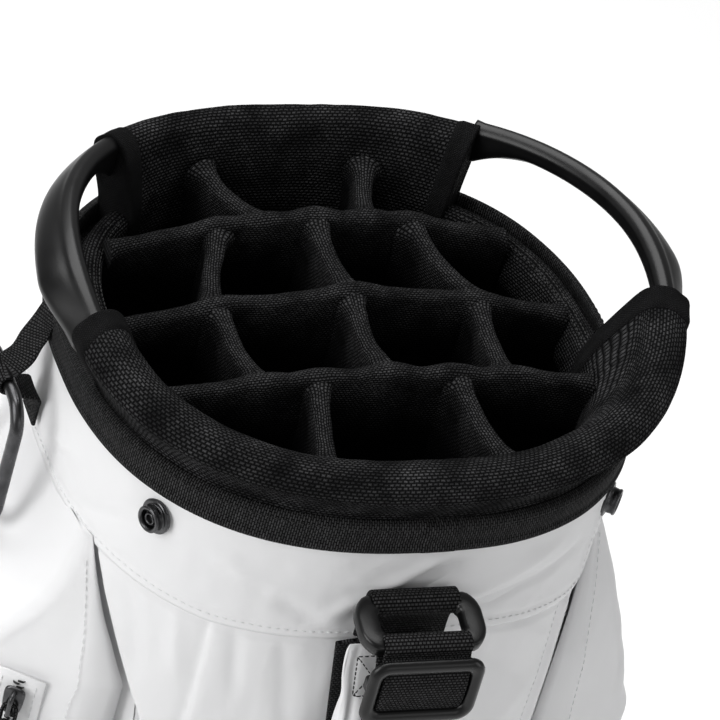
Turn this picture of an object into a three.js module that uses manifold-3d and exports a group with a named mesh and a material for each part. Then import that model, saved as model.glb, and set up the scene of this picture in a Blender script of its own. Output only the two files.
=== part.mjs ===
// Golf staff bag with a fourteen-way divider top, two moulded side handles, side, ball and valuables pockets,
// a towel ring and a shoulder strap on the front.
// Millimetres, +Z up, origin on the ground under the middle of the fabric tube. The strap side faces -Y.
// Shapes around the tube are sections at a polar angle: 0 is +X, 90 the rear and 270 the strap side.

import * as THREE from "three";
import { mergeVertices } from "three/addons/utils/BufferGeometryUtils.js";
import Module from "manifold-3d";

const wasm = await Module();
wasm.setup();

// ---------------------------------------------------------------- driving dimensions
const GAP = 0.3; // clearance between pieces that touch
const DIVIDER_TOP = 858; // height of the club dividers above the ground
const OVAL_POWER = 2.4; // how square the bag's oval plan is; 2 is an ellipse
const TUBE = { a: 117, b: 112 }; // outside of the fabric tube: half width and half depth
const TUBE_WALL = 3;
const CREST = { a: 123, b: 108.5 }; // ridge line of the padded collar, in plan
const WELL = { a: 98, b: 97 }; // inside of the collar
const COLLAR_FOOT = DIVIDER_TOP - 36; // where the padded collar meets the tube
const FRAME_DEPTH = 42; // height of the moulded ring inside the collar
const SOLE = 5; // thickness of the rubber sole
const BOOT_TOP = 78;
const BOOT_FLOOR = 5.5;
const FRONT_ROOT = 11.3; // angle from the X axis, towards the front, where a handle leaves the front cuff
const REAR_ROOT = 47.5; // the same towards the rear, where it leaves the rear cuff
const BINDING = 3.9; // angle that a cuff's end binding covers
const HANDLE_RADIUS = 123;
const YOKE_DROP = 44; // height of the yoke band below the piping
const WEBBING = { width: 38, thick: 2.4 };
const POCKET_FOOT = BOOT_TOP + 4;

// ---------------------------------------------------------------- materials
const material = (color, roughness, metalness = 0) =>
  new THREE.MeshStandardMaterial({ color, roughness, metalness });
const whiteFabric = material(0xe9e9ea, 0.75);
const spacerMesh = material(0x101011, 0.9);
const liningCloth = material(0x151516, 0.95);
const blackWebbing = material(0x0d0d0e, 0.8);
const bindingCloth = material(0x1a1a1b, 0.7);
const blackPlastic = material(0x1b1b1c, 0.45);
const rubber = material(0x121212, 0.85);
const gunmetal = material(0x55565a, 0.3, 1);
const aluminium = material(0xa5a7aa, 0.4, 1);

const bag = new THREE.Group();

function add(name, geometry, finish, parent = bag) {
  const mesh = new THREE.Mesh(geometry, finish);
  mesh.name = name;
  parent.add(mesh);
  return mesh;
}

// ---------------------------------------------------------------- shape tools
const radians = THREE.MathUtils.degToRad;

// Distance from the axis to an oval at a polar angle.
function ovalRadius(angle, { a, b }) {
  const c = Math.abs(Math.cos(radians(angle))) / a;
  const s = Math.abs(Math.sin(radians(angle))) / b;
  return (c ** OVAL_POWER + s ** OVAL_POWER) ** (-1 / OVAL_POWER);
}

const grown = ({ a, b }, by) => ({ a: a + by, b: b + by });

function ovalPoints(oval, steps = 56, from = 0, to = 360) {
  const full = to - from === 360;
  const points = [];
  for (let i = 0; i < (full ? steps : steps + 1); i++) {
    const angle = from + ((to - from) * i) / steps;
    const r = ovalRadius(angle, oval);
    points.push(new THREE.Vector2(r * Math.cos(radians(angle)), r * Math.sin(radians(angle))));
  }
  return points;
}

// Triangles of one closed outline, all turning the way the outline runs.
function capFaces(loop) {
  const normal = new THREE.Vector3();
  loop.forEach((p, i) => {
    const q = loop[(i + 1) % loop.length];
    normal.x += (p.y - q.y) * (p.z + q.z);
    normal.y += (p.z - q.z) * (p.x + q.x);
    normal.z += (p.x - q.x) * (p.y + q.y);
  });
  normal.normalize();
  const across = new THREE.Vector3(1, 0, 0);
  if (Math.abs(normal.x) > 0.9) across.set(0, 1, 0);
  across.cross(normal).normalize();
  const along = normal.clone().cross(across);
  const flat = loop.map((p) => new THREE.Vector2(p.dot(across), p.dot(along)));
  return THREE.ShapeUtils.triangulateShape(flat, []).map(([i, j, k]) => {
    const [p, q] = [flat[j].clone().sub(flat[i]), flat[k].clone().sub(flat[i])];
    const turn = p.x * q.y - p.y * q.x;
    return turn > 0 ? [i, j, k] : [i, k, j];
  });
}

// A solid through a row of sections with the same number of points, closed into a ring or capped.
function loft(sections, closed = false) {
  const n = sections[0].length;
  const rows = sections.length;
  const faces = [];
  for (let i = 0; i < (closed ? rows : rows - 1); i++) {
    const a = i * n;
    const b = ((i + 1) % rows) * n;
    for (let j = 0; j < n; j++) {
      const k = (j + 1) % n;
      faces.push([a + j, a + k, b + k], [a + j, b + k, b + j]);
    }
  }
  if (!closed) {
    const last = (rows - 1) * n;
    capFaces(sections[0]).forEach(([i, j, k]) => faces.push([i, k, j]));
    capFaces(sections[rows - 1]).forEach(([i, j, k]) => faces.push([last + i, last + j, last + k]));
  }
  const points = sections.flat();
  let volume = 0;
  faces.forEach(([i, j, k]) => {
    volume += points[i].dot(new THREE.Vector3().crossVectors(points[j], points[k]));
  });
  const index = faces.flatMap(([i, j, k]) => (volume > 0 ? [i, j, k] : [i, k, j]));
  const geometry = new THREE.BufferGeometry().setFromPoints(points);
  geometry.setIndex(index);
  return geometry;
}

// A solid swept round the bag's axis. section(angle) gives [radius, height] pairs.
function ringSweep(from, to, steps, section) {
  const closed = to - from === 360;
  const sections = [];
  for (let i = 0; i < (closed ? steps : steps + 1); i++) {
    const angle = from + ((to - from) * i) / steps;
    const c = Math.cos(radians(angle));
    const s = Math.sin(radians(angle));
    sections.push(section(angle).map(([r, z]) => new THREE.Vector3(r * c, r * s, z)));
  }
  return loft(sections, closed);
}

function prism(outline, low, high, holes = []) {
  const shape = new THREE.Shape(outline);
  holes.forEach((hole) => shape.holes.push(new THREE.Path(hole)));
  const geometry = new THREE.ExtrudeGeometry(shape, { depth: high - low, bevelEnabled: false });
  return geometry.translate(0, 0, low);
}

function box(x0, x1, y0, y1, z0, z1) {
  const geometry = new THREE.BoxGeometry(x1 - x0, y1 - y0, z1 - z0);
  return geometry.translate((x0 + x1) / 2, (y0 + y1) / 2, (z0 + z1) / 2);
}

// A ring of round or flat bar along a closed path of points that lies in one plane.
function closedBar(path, normal, halfWide, halfTall, sides) {
  const sections = path.map((p, i) => {
    const before = path[(i + path.length - 1) % path.length];
    const after = path[(i + 1) % path.length];
    const side = new THREE.Vector3().subVectors(after, before).cross(normal).normalize();
    return Array.from({ length: sides }, (_, k) => {
      const turn = (2 * Math.PI * (k + 0.5)) / sides;
      return p
        .clone()
        .addScaledVector(side, halfWide * Math.cos(turn))
        .addScaledVector(normal, halfTall * Math.sin(turn));
    });
  });
  return loft(sections, true);
}

// A rectangle's outline with round corners, centred on the origin.
function roundedRectangle(wide, tall, corner, steps = 4) {
  const points = [];
  [
    [1, 1],
    [-1, 1],
    [-1, -1],
    [1, -1],
  ].forEach(([sx, sy], quarter) => {
    for (let i = 0; i <= steps; i++) {
      const turn = radians(90 * (quarter + i / steps));
      points.push(
        new THREE.Vector2(
          sx * (wide / 2 - corner) + corner * Math.cos(turn),
          sy * (tall / 2 - corner) + corner * Math.sin(turn),
        ),
      );
    }
  });
  return points;
}

function toSolid(geometry) {
  const bare = geometry.clone();
  bare.deleteAttribute("normal");
  bare.deleteAttribute("uv");
  const merged = mergeVertices(bare, 1e-3);
  return new wasm.Manifold(
    new wasm.Mesh({
      numProp: 3,
      vertProperties: merged.attributes.position.array,
      triVerts: new Uint32Array(merged.index.array),
    }),
  );
}

function toGeometry(solid) {
  const mesh = solid.getMesh();
  const geometry = new THREE.BufferGeometry();
  geometry.setAttribute("position", new THREE.BufferAttribute(mesh.vertProperties, 3));
  geometry.setIndex(new THREE.BufferAttribute(mesh.triVerts, 1));
  return geometry;
}

const joined = (...geometries) => geometries.map(toSolid).reduce((all, solid) => all.add(solid));

// ---------------------------------------------------------------- base: sole, boot, tube and stays
function makeBase() {
  const groove = (y) => roundedRectangle(130, 9, 4, 3).map((p) => new THREE.Vector2(p.x, p.y + y));
  const grooves = [-66, -33, 33, 66].map(groove);
  add("base_sole", prism(ovalPoints(grown(TUBE, -4)), 0, SOLE, grooves), rubber);

  const outside = grown(TUBE, GAP + 3.5);
  const cup = toSolid(prism(ovalPoints(outside), SOLE + GAP, BOOT_TOP));
  const hollow = toSolid(prism(ovalPoints(grown(TUBE, GAP)), SOLE + GAP + BOOT_FLOOR, BOOT_TOP + 10));
  add("base_boot", toGeometry(cup.subtract(hollow)), blackPlastic);
}

const TUBE_FOOT = SOLE + BOOT_FLOOR + 2 * GAP;

function makeTube() {
  const inside = ovalPoints(grown(TUBE, -TUBE_WALL));
  add("body_shell", prism(ovalPoints(TUBE), TUBE_FOOT, COLLAR_FOOT - GAP, [inside]), whiteFabric);

  const stay = { x: 105, y: 30, r: 4 };
  for (const [side, sx] of [
    ["right", 1],
    ["left", -1],
  ]) {
    const length = COLLAR_FOOT - FRAME_DEPTH - GAP - TUBE_FOOT;
    const rod = new THREE.CylinderGeometry(stay.r, stay.r, length, 12).rotateX(Math.PI / 2);
    rod.translate(sx * stay.x, stay.y, TUBE_FOOT + length / 2);
    add(`frame_stay_${side}`, rod, aluminium);
  }

  const yoke = grown(TUBE, GAP);
  const yokeFoot = COLLAR_FOOT - YOKE_DROP;
  const band = prism(ovalPoints(grown(yoke, 1.3)), yokeFoot, COLLAR_FOOT, [ovalPoints(yoke)]);
  add("yoke_band", band, whiteFabric);
}

// ---------------------------------------------------------------- collar: frame, piping, cuffs and handles
const SKIRT = grown(TUBE, -1.2); // outside of the collar where the piping covers it

function makeFrame() {
  const outside = ovalPoints(grown(TUBE, -TUBE_WALL - GAP));
  const low = COLLAR_FOOT - FRAME_DEPTH;
  add("top_frame", prism(outside, low, COLLAR_FOOT - GAP, [ovalPoints(WELL)]), blackPlastic);

  const inner = grown(SKIRT, 0.6);
  add(
    "collar_piping",
    ringSweep(0, 360, 60, (angle) => {
      const r = ovalRadius(angle, inner);
      const foot = COLLAR_FOOT + 0.5;
      return [
        [r, foot],
        [r + 3, foot],
        [r + 4.2, foot + 3],
        [r + 4.2, foot + 10.5],
        [r + 2.6, foot + 14],
        [r, foot + 14],
      ];
    }),
    blackWebbing,
  );
}

// 0 in the middle of the arc, 1 where a handle leaves it.
const towardsRoot = (angle, middle, reach) => Math.min(1, Math.abs(angle - middle) / reach);

function frontCuffSection(angle, swell = 0) {
  const end = towardsRoot(angle, 270, 90 - FRONT_ROOT);
  const crest = DIVIDER_TOP + 3 + 15 * end ** 3;
  const r = ovalRadius(angle, CREST);
  const skirt = ovalRadius(angle, SKIRT);
  const inside = ovalRadius(angle, WELL) + GAP;
  const z = DIVIDER_TOP;
  return [
    [inside, COLLAR_FOOT],
    [inside + 1 - swell, z - 12],
    [r - 12 - swell, crest - 7],
    [r - 6, crest - 1 + swell],
    [r, crest + swell],
    [r + 5, crest - 2.5 + swell],
    [r + 8.5 + 1.5 * end + swell, crest - 9],
    [Math.max((r + 8.5 + skirt) / 2 + 2, skirt + 3) + swell, z - 12 + 6 * end],
    [skirt, z - 20],
    [skirt, COLLAR_FOOT],
  ];
}

function rearCuffSection(angle, swell = 0) {
  const end = towardsRoot(angle, 90, 90 - REAR_ROOT);
  const crest = DIVIDER_TOP + 12 + 1.5 * end;
  const r = ovalRadius(angle, CREST);
  const skirt = ovalRadius(angle, SKIRT);
  const inside = ovalRadius(angle, WELL) + GAP;
  const z = DIVIDER_TOP;
  return [
    [inside, COLLAR_FOOT],
    [inside + 0.5 - swell, z - 22],
    [(inside + r - 7) / 2 - swell, z - 4],
    [r - 6 - swell, crest - 4],
    [r, crest + swell],
    [r + 4, crest - 2.5 + swell],
    [r + 6.5 + swell, crest - 8],
    [Math.max((r + 6.5 + skirt) / 2, skirt + 2) + swell, z - 8],
    [skirt, z - 20],
    [skirt, COLLAR_FOOT],
  ];
}

// The low rim between the cuffs, under a handle. rise is 0 at the rear cuff and 1 at the front cuff.
function sideRimSection(angle, rise) {
  const inside = ovalRadius(angle, WELL) + GAP;
  const outside = ovalRadius(angle, grown(WELL, 10.5));
  const skirt = ovalRadius(angle, SKIRT);
  const crest = DIVIDER_TOP - 20 + 7 * rise;
  return [
    [inside, COLLAR_FOOT],
    [inside, crest - 6],
    [inside + 3, crest - 1],
    [outside - 4, crest],
    [outside, crest - 4],
    [outside + 0.5, crest - 8],
    [skirt, crest - 11],
    [skirt, COLLAR_FOOT],
  ];
}

function makeCuffs() {
  const frontEnd = 90 - FRONT_ROOT;
  const rearEnd = 90 - REAR_ROOT;
  const front = frontEnd - BINDING;
  const rear = rearEnd - BINDING;
  const slit = 0.15; // degrees of clearance between a cuff and its binding
  const proud = 0.8; // how far a binding stands out from the mesh
  add("front_cuff", ringSweep(270 - front, 270 + front, 30, (angle) => frontCuffSection(angle)), spacerMesh);
  add("rear_cuff", ringSweep(90 - rear, 90 + rear, 16, (angle) => rearCuffSection(angle)), spacerMesh);
  for (const [side, sx] of [
    ["right", 1],
    ["left", -1],
  ]) {
    // The two ends of a binding on this side, from the middle of its cuff.
    const ends = (middle, a, b) => {
      const forward = (middle === 270) === sx > 0;
      return forward ? [middle + a, middle + b] : [middle - b, middle - a];
    };
    const [f0, f1] = ends(270, front + slit, frontEnd);
    const [r0, r1] = ends(90, rear + slit, rearEnd);
    const frontBinding = ringSweep(f0, f1, 2, (angle) => frontCuffSection(angle, proud));
    const rearBinding = ringSweep(r0, r1, 2, (angle) => rearCuffSection(angle, proud));
    add(`cuff_binding_front_${side}`, frontBinding, bindingCloth);
    add(`cuff_binding_rear_${side}`, rearBinding, bindingCloth);
  }
}

function makeSides() {
  const slit = 0.2;
  const from = -FRONT_ROOT + slit;
  const to = REAR_ROOT - slit;
  const rim = (angle) => sideRimSection(angle, (to - angle) / (to - from));
  const handle = (angle) => {
    const r = HANDLE_RADIUS - 4 * Math.sin(radians(angle));
    const peak = 9;
    const before = 7 * ((angle - peak) / (from - peak)) ** 2;
    const fall = angle < peak ? before : 11 * ((angle - peak) / (to - peak)) ** 1.6;
    // The band leans outwards in front, narrows where it enters the front cuff and stands nearly upright,
    // with a deeper flange, where it enters the rear cuff.
    const narrowing = 1 - 0.55 * THREE.MathUtils.smoothstep(-angle, -2, -from);
    const outward = THREE.MathUtils.mapLinear(angle, -10, to, 1.25, 0.25);
    const lean = narrowing * THREE.MathUtils.clamp(outward, 0.25, 1.25);
    const end = Math.max(0, ((angle - (from + to) / 2) / ((to - from) / 2) - 0.55) / 0.45) ** 2;
    const z = DIVIDER_TOP + 24 - fall;
    const skirt = 9 * end;
    return [
      [r - 4.5, z - 5],
      [r - 2.5, z - 1.2],
      [r + 1, z],
      [r + 2 + 3 * lean, z - 1.2],
      [r + 3 + 7.5 * lean, z - 6.5],
      [r + 3.5 + 10 * lean, z - 11.5],
      [r + 3 + 9.5 * lean, z - 15 - 0.6 * skirt],
      [r + 2.5 + 6.5 * lean, z - 15 - 0.8 * skirt],
      [r + 2, z - 13 - skirt],
      [r - 1, z - 12.5 - skirt],
      [r - 4.2, z - 10 - skirt],
    ];
  };
  const mirrored = (section) => (angle) => section(180 - angle);
  add("side_rim_right", ringSweep(from, to, 14, rim), spacerMesh);
  add("side_rim_left", ringSweep(180 - to, 180 - from, 14, mirrored(rim)), spacerMesh);
  add("handle_right", ringSweep(from, to, 18, handle), blackPlastic);
  add("handle_left", ringSweep(180 - to, 180 - from, 18, mirrored(handle)), blackPlastic);
}

// ---------------------------------------------------------------- club dividers, down to the boot
const PAD = 8; // thickness of a divider's padded top
const PANEL = 3; // thickness of the cloth panel below it
const PAD_FOOT = COLLAR_FOOT - FRAME_DEPTH;
const ROWS = [
  { name: "rear", y: 53, dip: 14 },
  { name: "middle", y: 5, dip: 13 },
  { name: "front", y: -45, dip: 8 },
];
const REACH = 95; // half width over which a row's top edge dips
const dipAt = (x, dip) => dip * Math.min(1, Math.abs(x) / REACH) ** 1.5;

// Each cross divider runs from the row in front of it to the row behind, at these distances from the middle.
const CROSSES = [
  { bay: "rear", between: [0, null], at: [24, 36], sides: [-1, 1] },
  { bay: "second", between: [1, 0], at: [0, 0], sides: [0] },
  { bay: "second", between: [1, 0], at: [58, 43], sides: [-1, 1] },
  { bay: "third", between: [2, 1], at: [0, 0], sides: [0] },
  { bay: "third", between: [2, 1], at: [54, 57], sides: [-1, 1] },
  { bay: "front", between: [null, 2], at: [39, 30], sides: [-1, 1] },
];

function makeDividers() {
  const upperBore = toSolid(prism(ovalPoints(grown(WELL, -1.2), 56), PAD_FOOT, DIVIDER_TOP + 40));
  const lining = ovalPoints(grown(TUBE, -TUBE_WALL - 1), 56);
  const lowerBore = toSolid(prism(lining, TUBE_FOOT, PAD_FOOT - GAP + 0.1));
  const tongueBore = toSolid(prism(ovalPoints(grown(WELL, -5)), 0, DIVIDER_TOP));
  const wide = 2 * TUBE.a;

  for (const { name, y, dip } of ROWS) {
    const edge = [];
    for (let x = REACH + 5; x >= -REACH - 5; x -= 10) {
      edge.push(new THREE.Vector2(x, DIVIDER_TOP + 2 - dipAt(x, dip)));
    }
    const face = [new THREE.Vector2(-REACH - 5, PAD_FOOT), new THREE.Vector2(REACH + 5, PAD_FOOT), ...edge];
    const pad = new THREE.ExtrudeGeometry(new THREE.Shape(face), { depth: PAD, bevelEnabled: false });
    pad.rotateX(Math.PI / 2).translate(0, y + PAD / 2, 0);
    const panel = toSolid(box(-wide, wide, y - PANEL / 2, y + PANEL / 2, 0, PAD_FOOT)).intersect(lowerBore);
    const tongue = toSolid(box(-REACH, REACH, y - PANEL / 2, y + PANEL / 2, PAD_FOOT - 5, PAD_FOOT + 5));
    const solid = toSolid(pad).intersect(upperBore).add(panel).add(tongue.intersect(tongueBore));
    add(`divider_row_${name}`, toGeometry(solid), liningCloth);
  }

  for (const { bay, between, at, sides } of CROSSES) {
    // The stretch of the bay that a slab of half thickness h may fill, clear of the rows on either side.
    const span = (h) => [
      between[0] === null ? -TUBE.b : ROWS[between[0]].y + h + GAP,
      between[1] === null ? TUBE.b : ROWS[between[1]].y - h - GAP,
    ];
    const slab = (sx, thick, low, high, clear = thick / 2) => {
      const [y0, y1] = span(clear);
      const frontY = between[0] === null ? -WELL.b : ROWS[between[0]].y;
      const rearY = between[1] === null ? WELL.b : ROWS[between[1]].y;
      const xAt = (y) => sx * THREE.MathUtils.mapLinear(y, frontY, rearY, at[0], at[1]);
      const corners = [
        [xAt(y0) - thick / 2, y0],
        [xAt(y0) + thick / 2, y0],
        [xAt(y1) + thick / 2, y1],
        [xAt(y1) - thick / 2, y1],
      ];
      return prism(
        corners.map(([x, y]) => new THREE.Vector2(x, y)),
        low,
        high,
      );
    };
    for (const side of sides) {
      const label = side === 0 ? "middle" : side > 0 ? "right" : "left";
      const sx = side === 0 ? 1 : side;
      const dip = dipAt((at[0] + at[1]) / 2, 11);
      const pad = toSolid(slab(sx, PAD, PAD_FOOT, DIVIDER_TOP + 1 - dip)).intersect(upperBore);
      const panel = toSolid(slab(sx, PANEL, 0, PAD_FOOT)).intersect(lowerBore);
      const tongue = toSolid(slab(sx, PANEL, PAD_FOOT - 5, PAD_FOOT + 5, PAD / 2)).intersect(tongueBore);
      add(`divider_${bay}_${label}`, toGeometry(pad.add(panel).add(tongue)), liningCloth);
    }
  }
}

// ---------------------------------------------------------------- pockets
const HULL = grown(TUBE, 1.4); // what a pocket is sewn against
const OUTLINE_STEPS = 12; // points along the tube's curve in a pocket's outline

// Half the tube's width at a depth y, or half its depth at a width x.
const acrossAt = (v, half, other) => other * (1 - (Math.abs(v) / half) ** OVAL_POWER) ** (1 / OVAL_POWER);

// A quarter of a round corner as [out, along] points, from the face at `from` towards the side wall, or back.
function roundCorner(base, corner, along, way) {
  const arc = [0, 30, 60, 90].map((turn) => [
    base + corner * Math.sin(radians(turn)),
    along + way * corner * (1 - Math.cos(radians(turn))),
  ]);
  return way > 0 ? arc : arc.reverse();
}

// The outside of a pocket between two corners, with a slight crown.
const crown = (face, from, to) => [
  [face - 0.8, THREE.MathUtils.lerp(from, to, 0.3)],
  [face, (from + to) / 2],
  [face - 0.8, THREE.MathUtils.lerp(from, to, 0.7)],
];

const tubeSide = (from, to, inner) =>
  Array.from({ length: OUTLINE_STEPS + 1 }, (_, i) => {
    const v = THREE.MathUtils.lerp(to, from, i / OUTLINE_STEPS);
    return [inner(v), v];
  });

// A crescent in plan: the tube's curve inside, and outside a box with round corners.
function pocketOutline(from, to, depth, inner) {
  const face = inner(0) + depth;
  const corner = Math.min(12, 0.45 * depth);
  const base = face - 3 - corner;
  return [
    ...tubeSide(from, to, inner),
    ...roundCorner(base, corner, from, 1),
    ...crown(face, from, to),
    ...roundCorner(base, corner, to, -1),
  ];
}

const SIDE_POCKET = {
  front: -79,
  rear: 62,
  depth: 50,
  top: DIVIDER_TOP - 86,
  gusset: 113.5, // x of the sharp corner between the gusset and the slanted face
  slant: 35, // degrees the zip's face turns outwards
  face: 31, // width of that face across the bag
};

// A side pocket in plan: a narrow gusset across the front, a flat face that slants outwards for the zip,
// a round corner, the side and a round rear corner. front is the y of the gusset.
function sidePocketOutline(front, depth, inner) {
  const { rear, gusset, slant, face: flat } = SIDE_POCKET;
  const side = inner(0) + depth;
  const edge = side - 3;
  const grade = Math.tan(radians(slant));
  const flatEnd = gusset + Math.min(flat, edge - gusset - 4);
  const bend = front + (edge - gusset) * grade;
  const cornerEnd = bend + 0.4 * (edge - flatEnd) + 4;
  const corner = Math.min(12, 0.45 * depth);
  const flatEndY = front + (flatEnd - gusset) * grade;
  const rounded = [1 / 3, 2 / 3, 1].map((t) => [
    (1 - t) ** 2 * flatEnd + (1 - (1 - t) ** 2) * edge,
    (1 - t) ** 2 * flatEndY + 2 * t * (1 - t) * bend + t ** 2 * cornerEnd,
  ]);
  return [
    ...tubeSide(front, rear, inner),
    [gusset, front],
    [flatEnd, flatEndY],
    ...rounded,
    ...crown(side, cornerEnd, rear - corner),
    ...roundCorner(edge - corner, corner, rear, -1),
  ];
}

// A pocket from its outlines as [height, [out, along] points]. place turns a point into x and y.
function pocket(outlines, place) {
  return loft(
    outlines.map(([z, outline]) =>
      outline.map(([out, along]) => {
        const [x, y] = place(out, along);
        return new THREE.Vector3(x, y, z);
      }),
    ),
  );
}

const REAR_POCKETS = {
  ball: { half: 78, foot: POCKET_FOOT + 6, top: 345, depth: 62 },
  valuables: { half: 66, foot: 430, top: 690, depth: 36 },
};

function makePockets() {
  const { front: foremost, depth, top } = SIDE_POCKET;
  // Height, depth and the y of the gusset, from the foot up: the pocket closes to a point under the yoke.
  const stations = [
    [POCKET_FOOT, depth - 8, foremost],
    [POCKET_FOOT + 14, depth, foremost],
    [top - 122, depth, foremost],
    [top - 50, depth - 16, foremost],
    [top - 34, depth - 32, -70],
    [top - 24, depth - 41, -63],
    [top, depth - 46, -50],
  ];
  const sideInner = (y) => acrossAt(y, HULL.b, HULL.a);
  const rearInner = (x) => acrossAt(x, HULL.a, HULL.b);
  for (const [side, sx] of [
    ["right", 1],
    ["left", -1],
  ]) {
    const outlines = stations.map(([z, out, front]) => [z, sidePocketOutline(front, out, sideInner)]);
    const geometry = pocket(outlines, (out, along) => [sx * out, along]);
    add(`apparel_pocket_${side}`, geometry, whiteFabric);
  }
  for (const [name, p] of Object.entries(REAR_POCKETS)) {
    const rise = p.top - p.foot;
    const outlines = [
      [p.foot, p.depth - 10],
      [p.foot + 12, p.depth],
      [p.foot + 0.72 * rise, p.depth],
      [p.foot + 0.88 * rise, p.depth * 0.78],
      [p.top, p.depth * 0.3],
    ].map(([z, out]) => [z, pocketOutline(-p.half, p.half, out, rearInner)]);
    const geometry = pocket(outlines, (out, along) => [along, out]);
    add(`${name}_pocket`, geometry, whiteFabric);
  }

  const arc = (by) => ovalPoints(grown(TUBE, by), 14, 234, 306);
  const panel = [...arc(6.5), ...arc(GAP).reverse()];
  add("spine_panel", prism(panel, POCKET_FOOT, COLLAR_FOOT - YOKE_DROP - GAP), whiteFabric);
}

// ---------------------------------------------------------------- zips: -Y is outward, Z along the zip
const TAPE = { width: 22, thick: 1.4, coil: 5, rise: 1.6 };
const SLIDER = { width: 11, length: 15, face: 5.6 };
const PIN_OUT = SLIDER.face + 1.6; // how far the puller's pin stands out from the cloth

function tapeGeometry(length) {
  const { width, thick, coil, rise } = TAPE;
  const half = [
    [width / 2, 0],
    [width / 2, -thick],
    [coil / 2, -thick],
    [coil / 2 - 1, -thick - rise],
  ];
  const otherHalf = half.map(([x, y]) => [-x, y]).reverse();
  const outline = [...half, ...otherHalf].map(([x, y]) => new THREE.Vector2(x, y));
  return prism(outline, 0, length);
}

function sliderGeometry() {
  const { width, length, face } = SLIDER;
  const back = -TAPE.thick - GAP;
  // The outline's height runs along Z, and the block reaches from the tape to its face along -Y.
  const block = prism(roundedRectangle(width, length, 3.5), 0, face + back)
    .rotateX(Math.PI / 2)
    .translate(0, back, 0);
  const half = TAPE.coil / 2 + 0.4;
  const channel = toSolid(box(-half, half, -TAPE.thick - TAPE.rise - 0.5, 0, -length, length));
  const bridge = joined(
    box(-1.2, 1.2, -face - 4.2, -face - 2.9, -5.4, 5.4),
    box(-1.2, 1.2, -face - 4.2, -face + 0.6, 4.2, 5.4),
    box(-1.2, 1.2, -face - 4.2, -face + 0.6, -5.4, -4.2),
  );
  return toGeometry(toSolid(block).subtract(channel).add(bridge));
}

function pullerGeometry() {
  const frame = joined(
    box(-4.2, 4.2, -0.7, 0.7, -0.7, 0.7),
    box(-4.2, -2.2, -0.7, 0.7, -9, 0.7),
    box(2.2, 4.2, -0.7, 0.7, -9, 0.7),
    box(-4.6, 4.6, -1.1, 1.1, -34, -8),
  );
  return toGeometry(frame);
}

// Where a zip's middle line meets the cloth, which way it faces, and the heights of its two ends.
const zipOut = 19.5; // from the gusset's corner to a side zip's middle, across the bag
const sideZip = {
  x: SIDE_POCKET.gusset + zipOut,
  y: SIDE_POCKET.front + zipOut * Math.tan(radians(SIDE_POCKET.slant)),
  low: 130,
};
const ZIPS = [
  { name: "apparel_left", ...sideZip, x: -sideZip.x, turn: -SIDE_POCKET.slant, high: 718 },
  { name: "apparel_right", ...sideZip, turn: SIDE_POCKET.slant, high: 650 },
  { name: "ball", x: 45, y: HULL.b + REAR_POCKETS.ball.depth, turn: 180, low: 105, high: 248 },
  { name: "valuables", x: 38, y: HULL.b + REAR_POCKETS.valuables.depth, turn: 180, low: 455, high: 590 },
];
const ZIP_LIFT = 0.4; // from the pocket's cloth to the back of the tape

function makeZips() {
  for (const { name, x, y, turn, low, high } of ZIPS) {
    const zip = new THREE.Group();
    zip.position.set(x + ZIP_LIFT * Math.sin(radians(turn)), y - ZIP_LIFT * Math.cos(radians(turn)), 0);
    zip.rotation.z = radians(turn);
    bag.add(zip);
    add(`zip_tape_${name}`, tapeGeometry(high - low).translate(0, 0, low), blackWebbing, zip);
    const parked = high - SLIDER.length / 2 - 4;
    add(`zip_slider_${name}`, sliderGeometry().translate(0, 0, parked), gunmetal, zip);
    add(`zip_puller_${name}`, pullerGeometry().translate(0, -PIN_OUT, parked), blackPlastic, zip);
  }
}

// ---------------------------------------------------------------- towel ring
const TOWEL = { x: -138, y: 12, z: DIVIDER_TOP - 46, wide: 48, tall: 62, bar: 3 };

function makeTowelRing() {
  const loopWidth = 20;
  const wall = -(TUBE.a + GAP + 1.8);
  const { x, y, z } = TOWEL;
  const strip = [
    [wall, COLLAR_FOOT - 2],
    [wall, z - 26],
    [wall - 2.4, z - 26],
    [wall - 2.4, z - 5.5],
    [x - 5.5, z - 5.5],
    [x - 5.5, z + 5.5],
    [wall - 3, COLLAR_FOOT - 2],
  ].map(([px, pz]) => new THREE.Vector2(px, pz));
  const sleeve = toSolid(prism(strip, 0, loopWidth).rotateX(Math.PI / 2).translate(0, y + loopWidth / 2, 0));
  const bore = toSolid(box(x - 3.6, x + 3.6, y - loopWidth, y + loopWidth, z - 3.6, z + 3.6));
  add("towel_loop", toGeometry(sleeve.subtract(bore)), blackWebbing);

  const path = roundedRectangle(TOWEL.wide, TOWEL.tall, 12, 5).map(
    (p) => new THREE.Vector3(TOWEL.x, TOWEL.y + p.x, TOWEL.z + p.y - TOWEL.tall / 2),
  );
  add("towel_ring", closedBar(path, new THREE.Vector3(1, 0, 0), TOWEL.bar, TOWEL.bar, 8), gunmetal);
}

// ---------------------------------------------------------------- snaps that hold a rain hood
const SNAP_HEIGHT = DIVIDER_TOP - 47;

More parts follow.
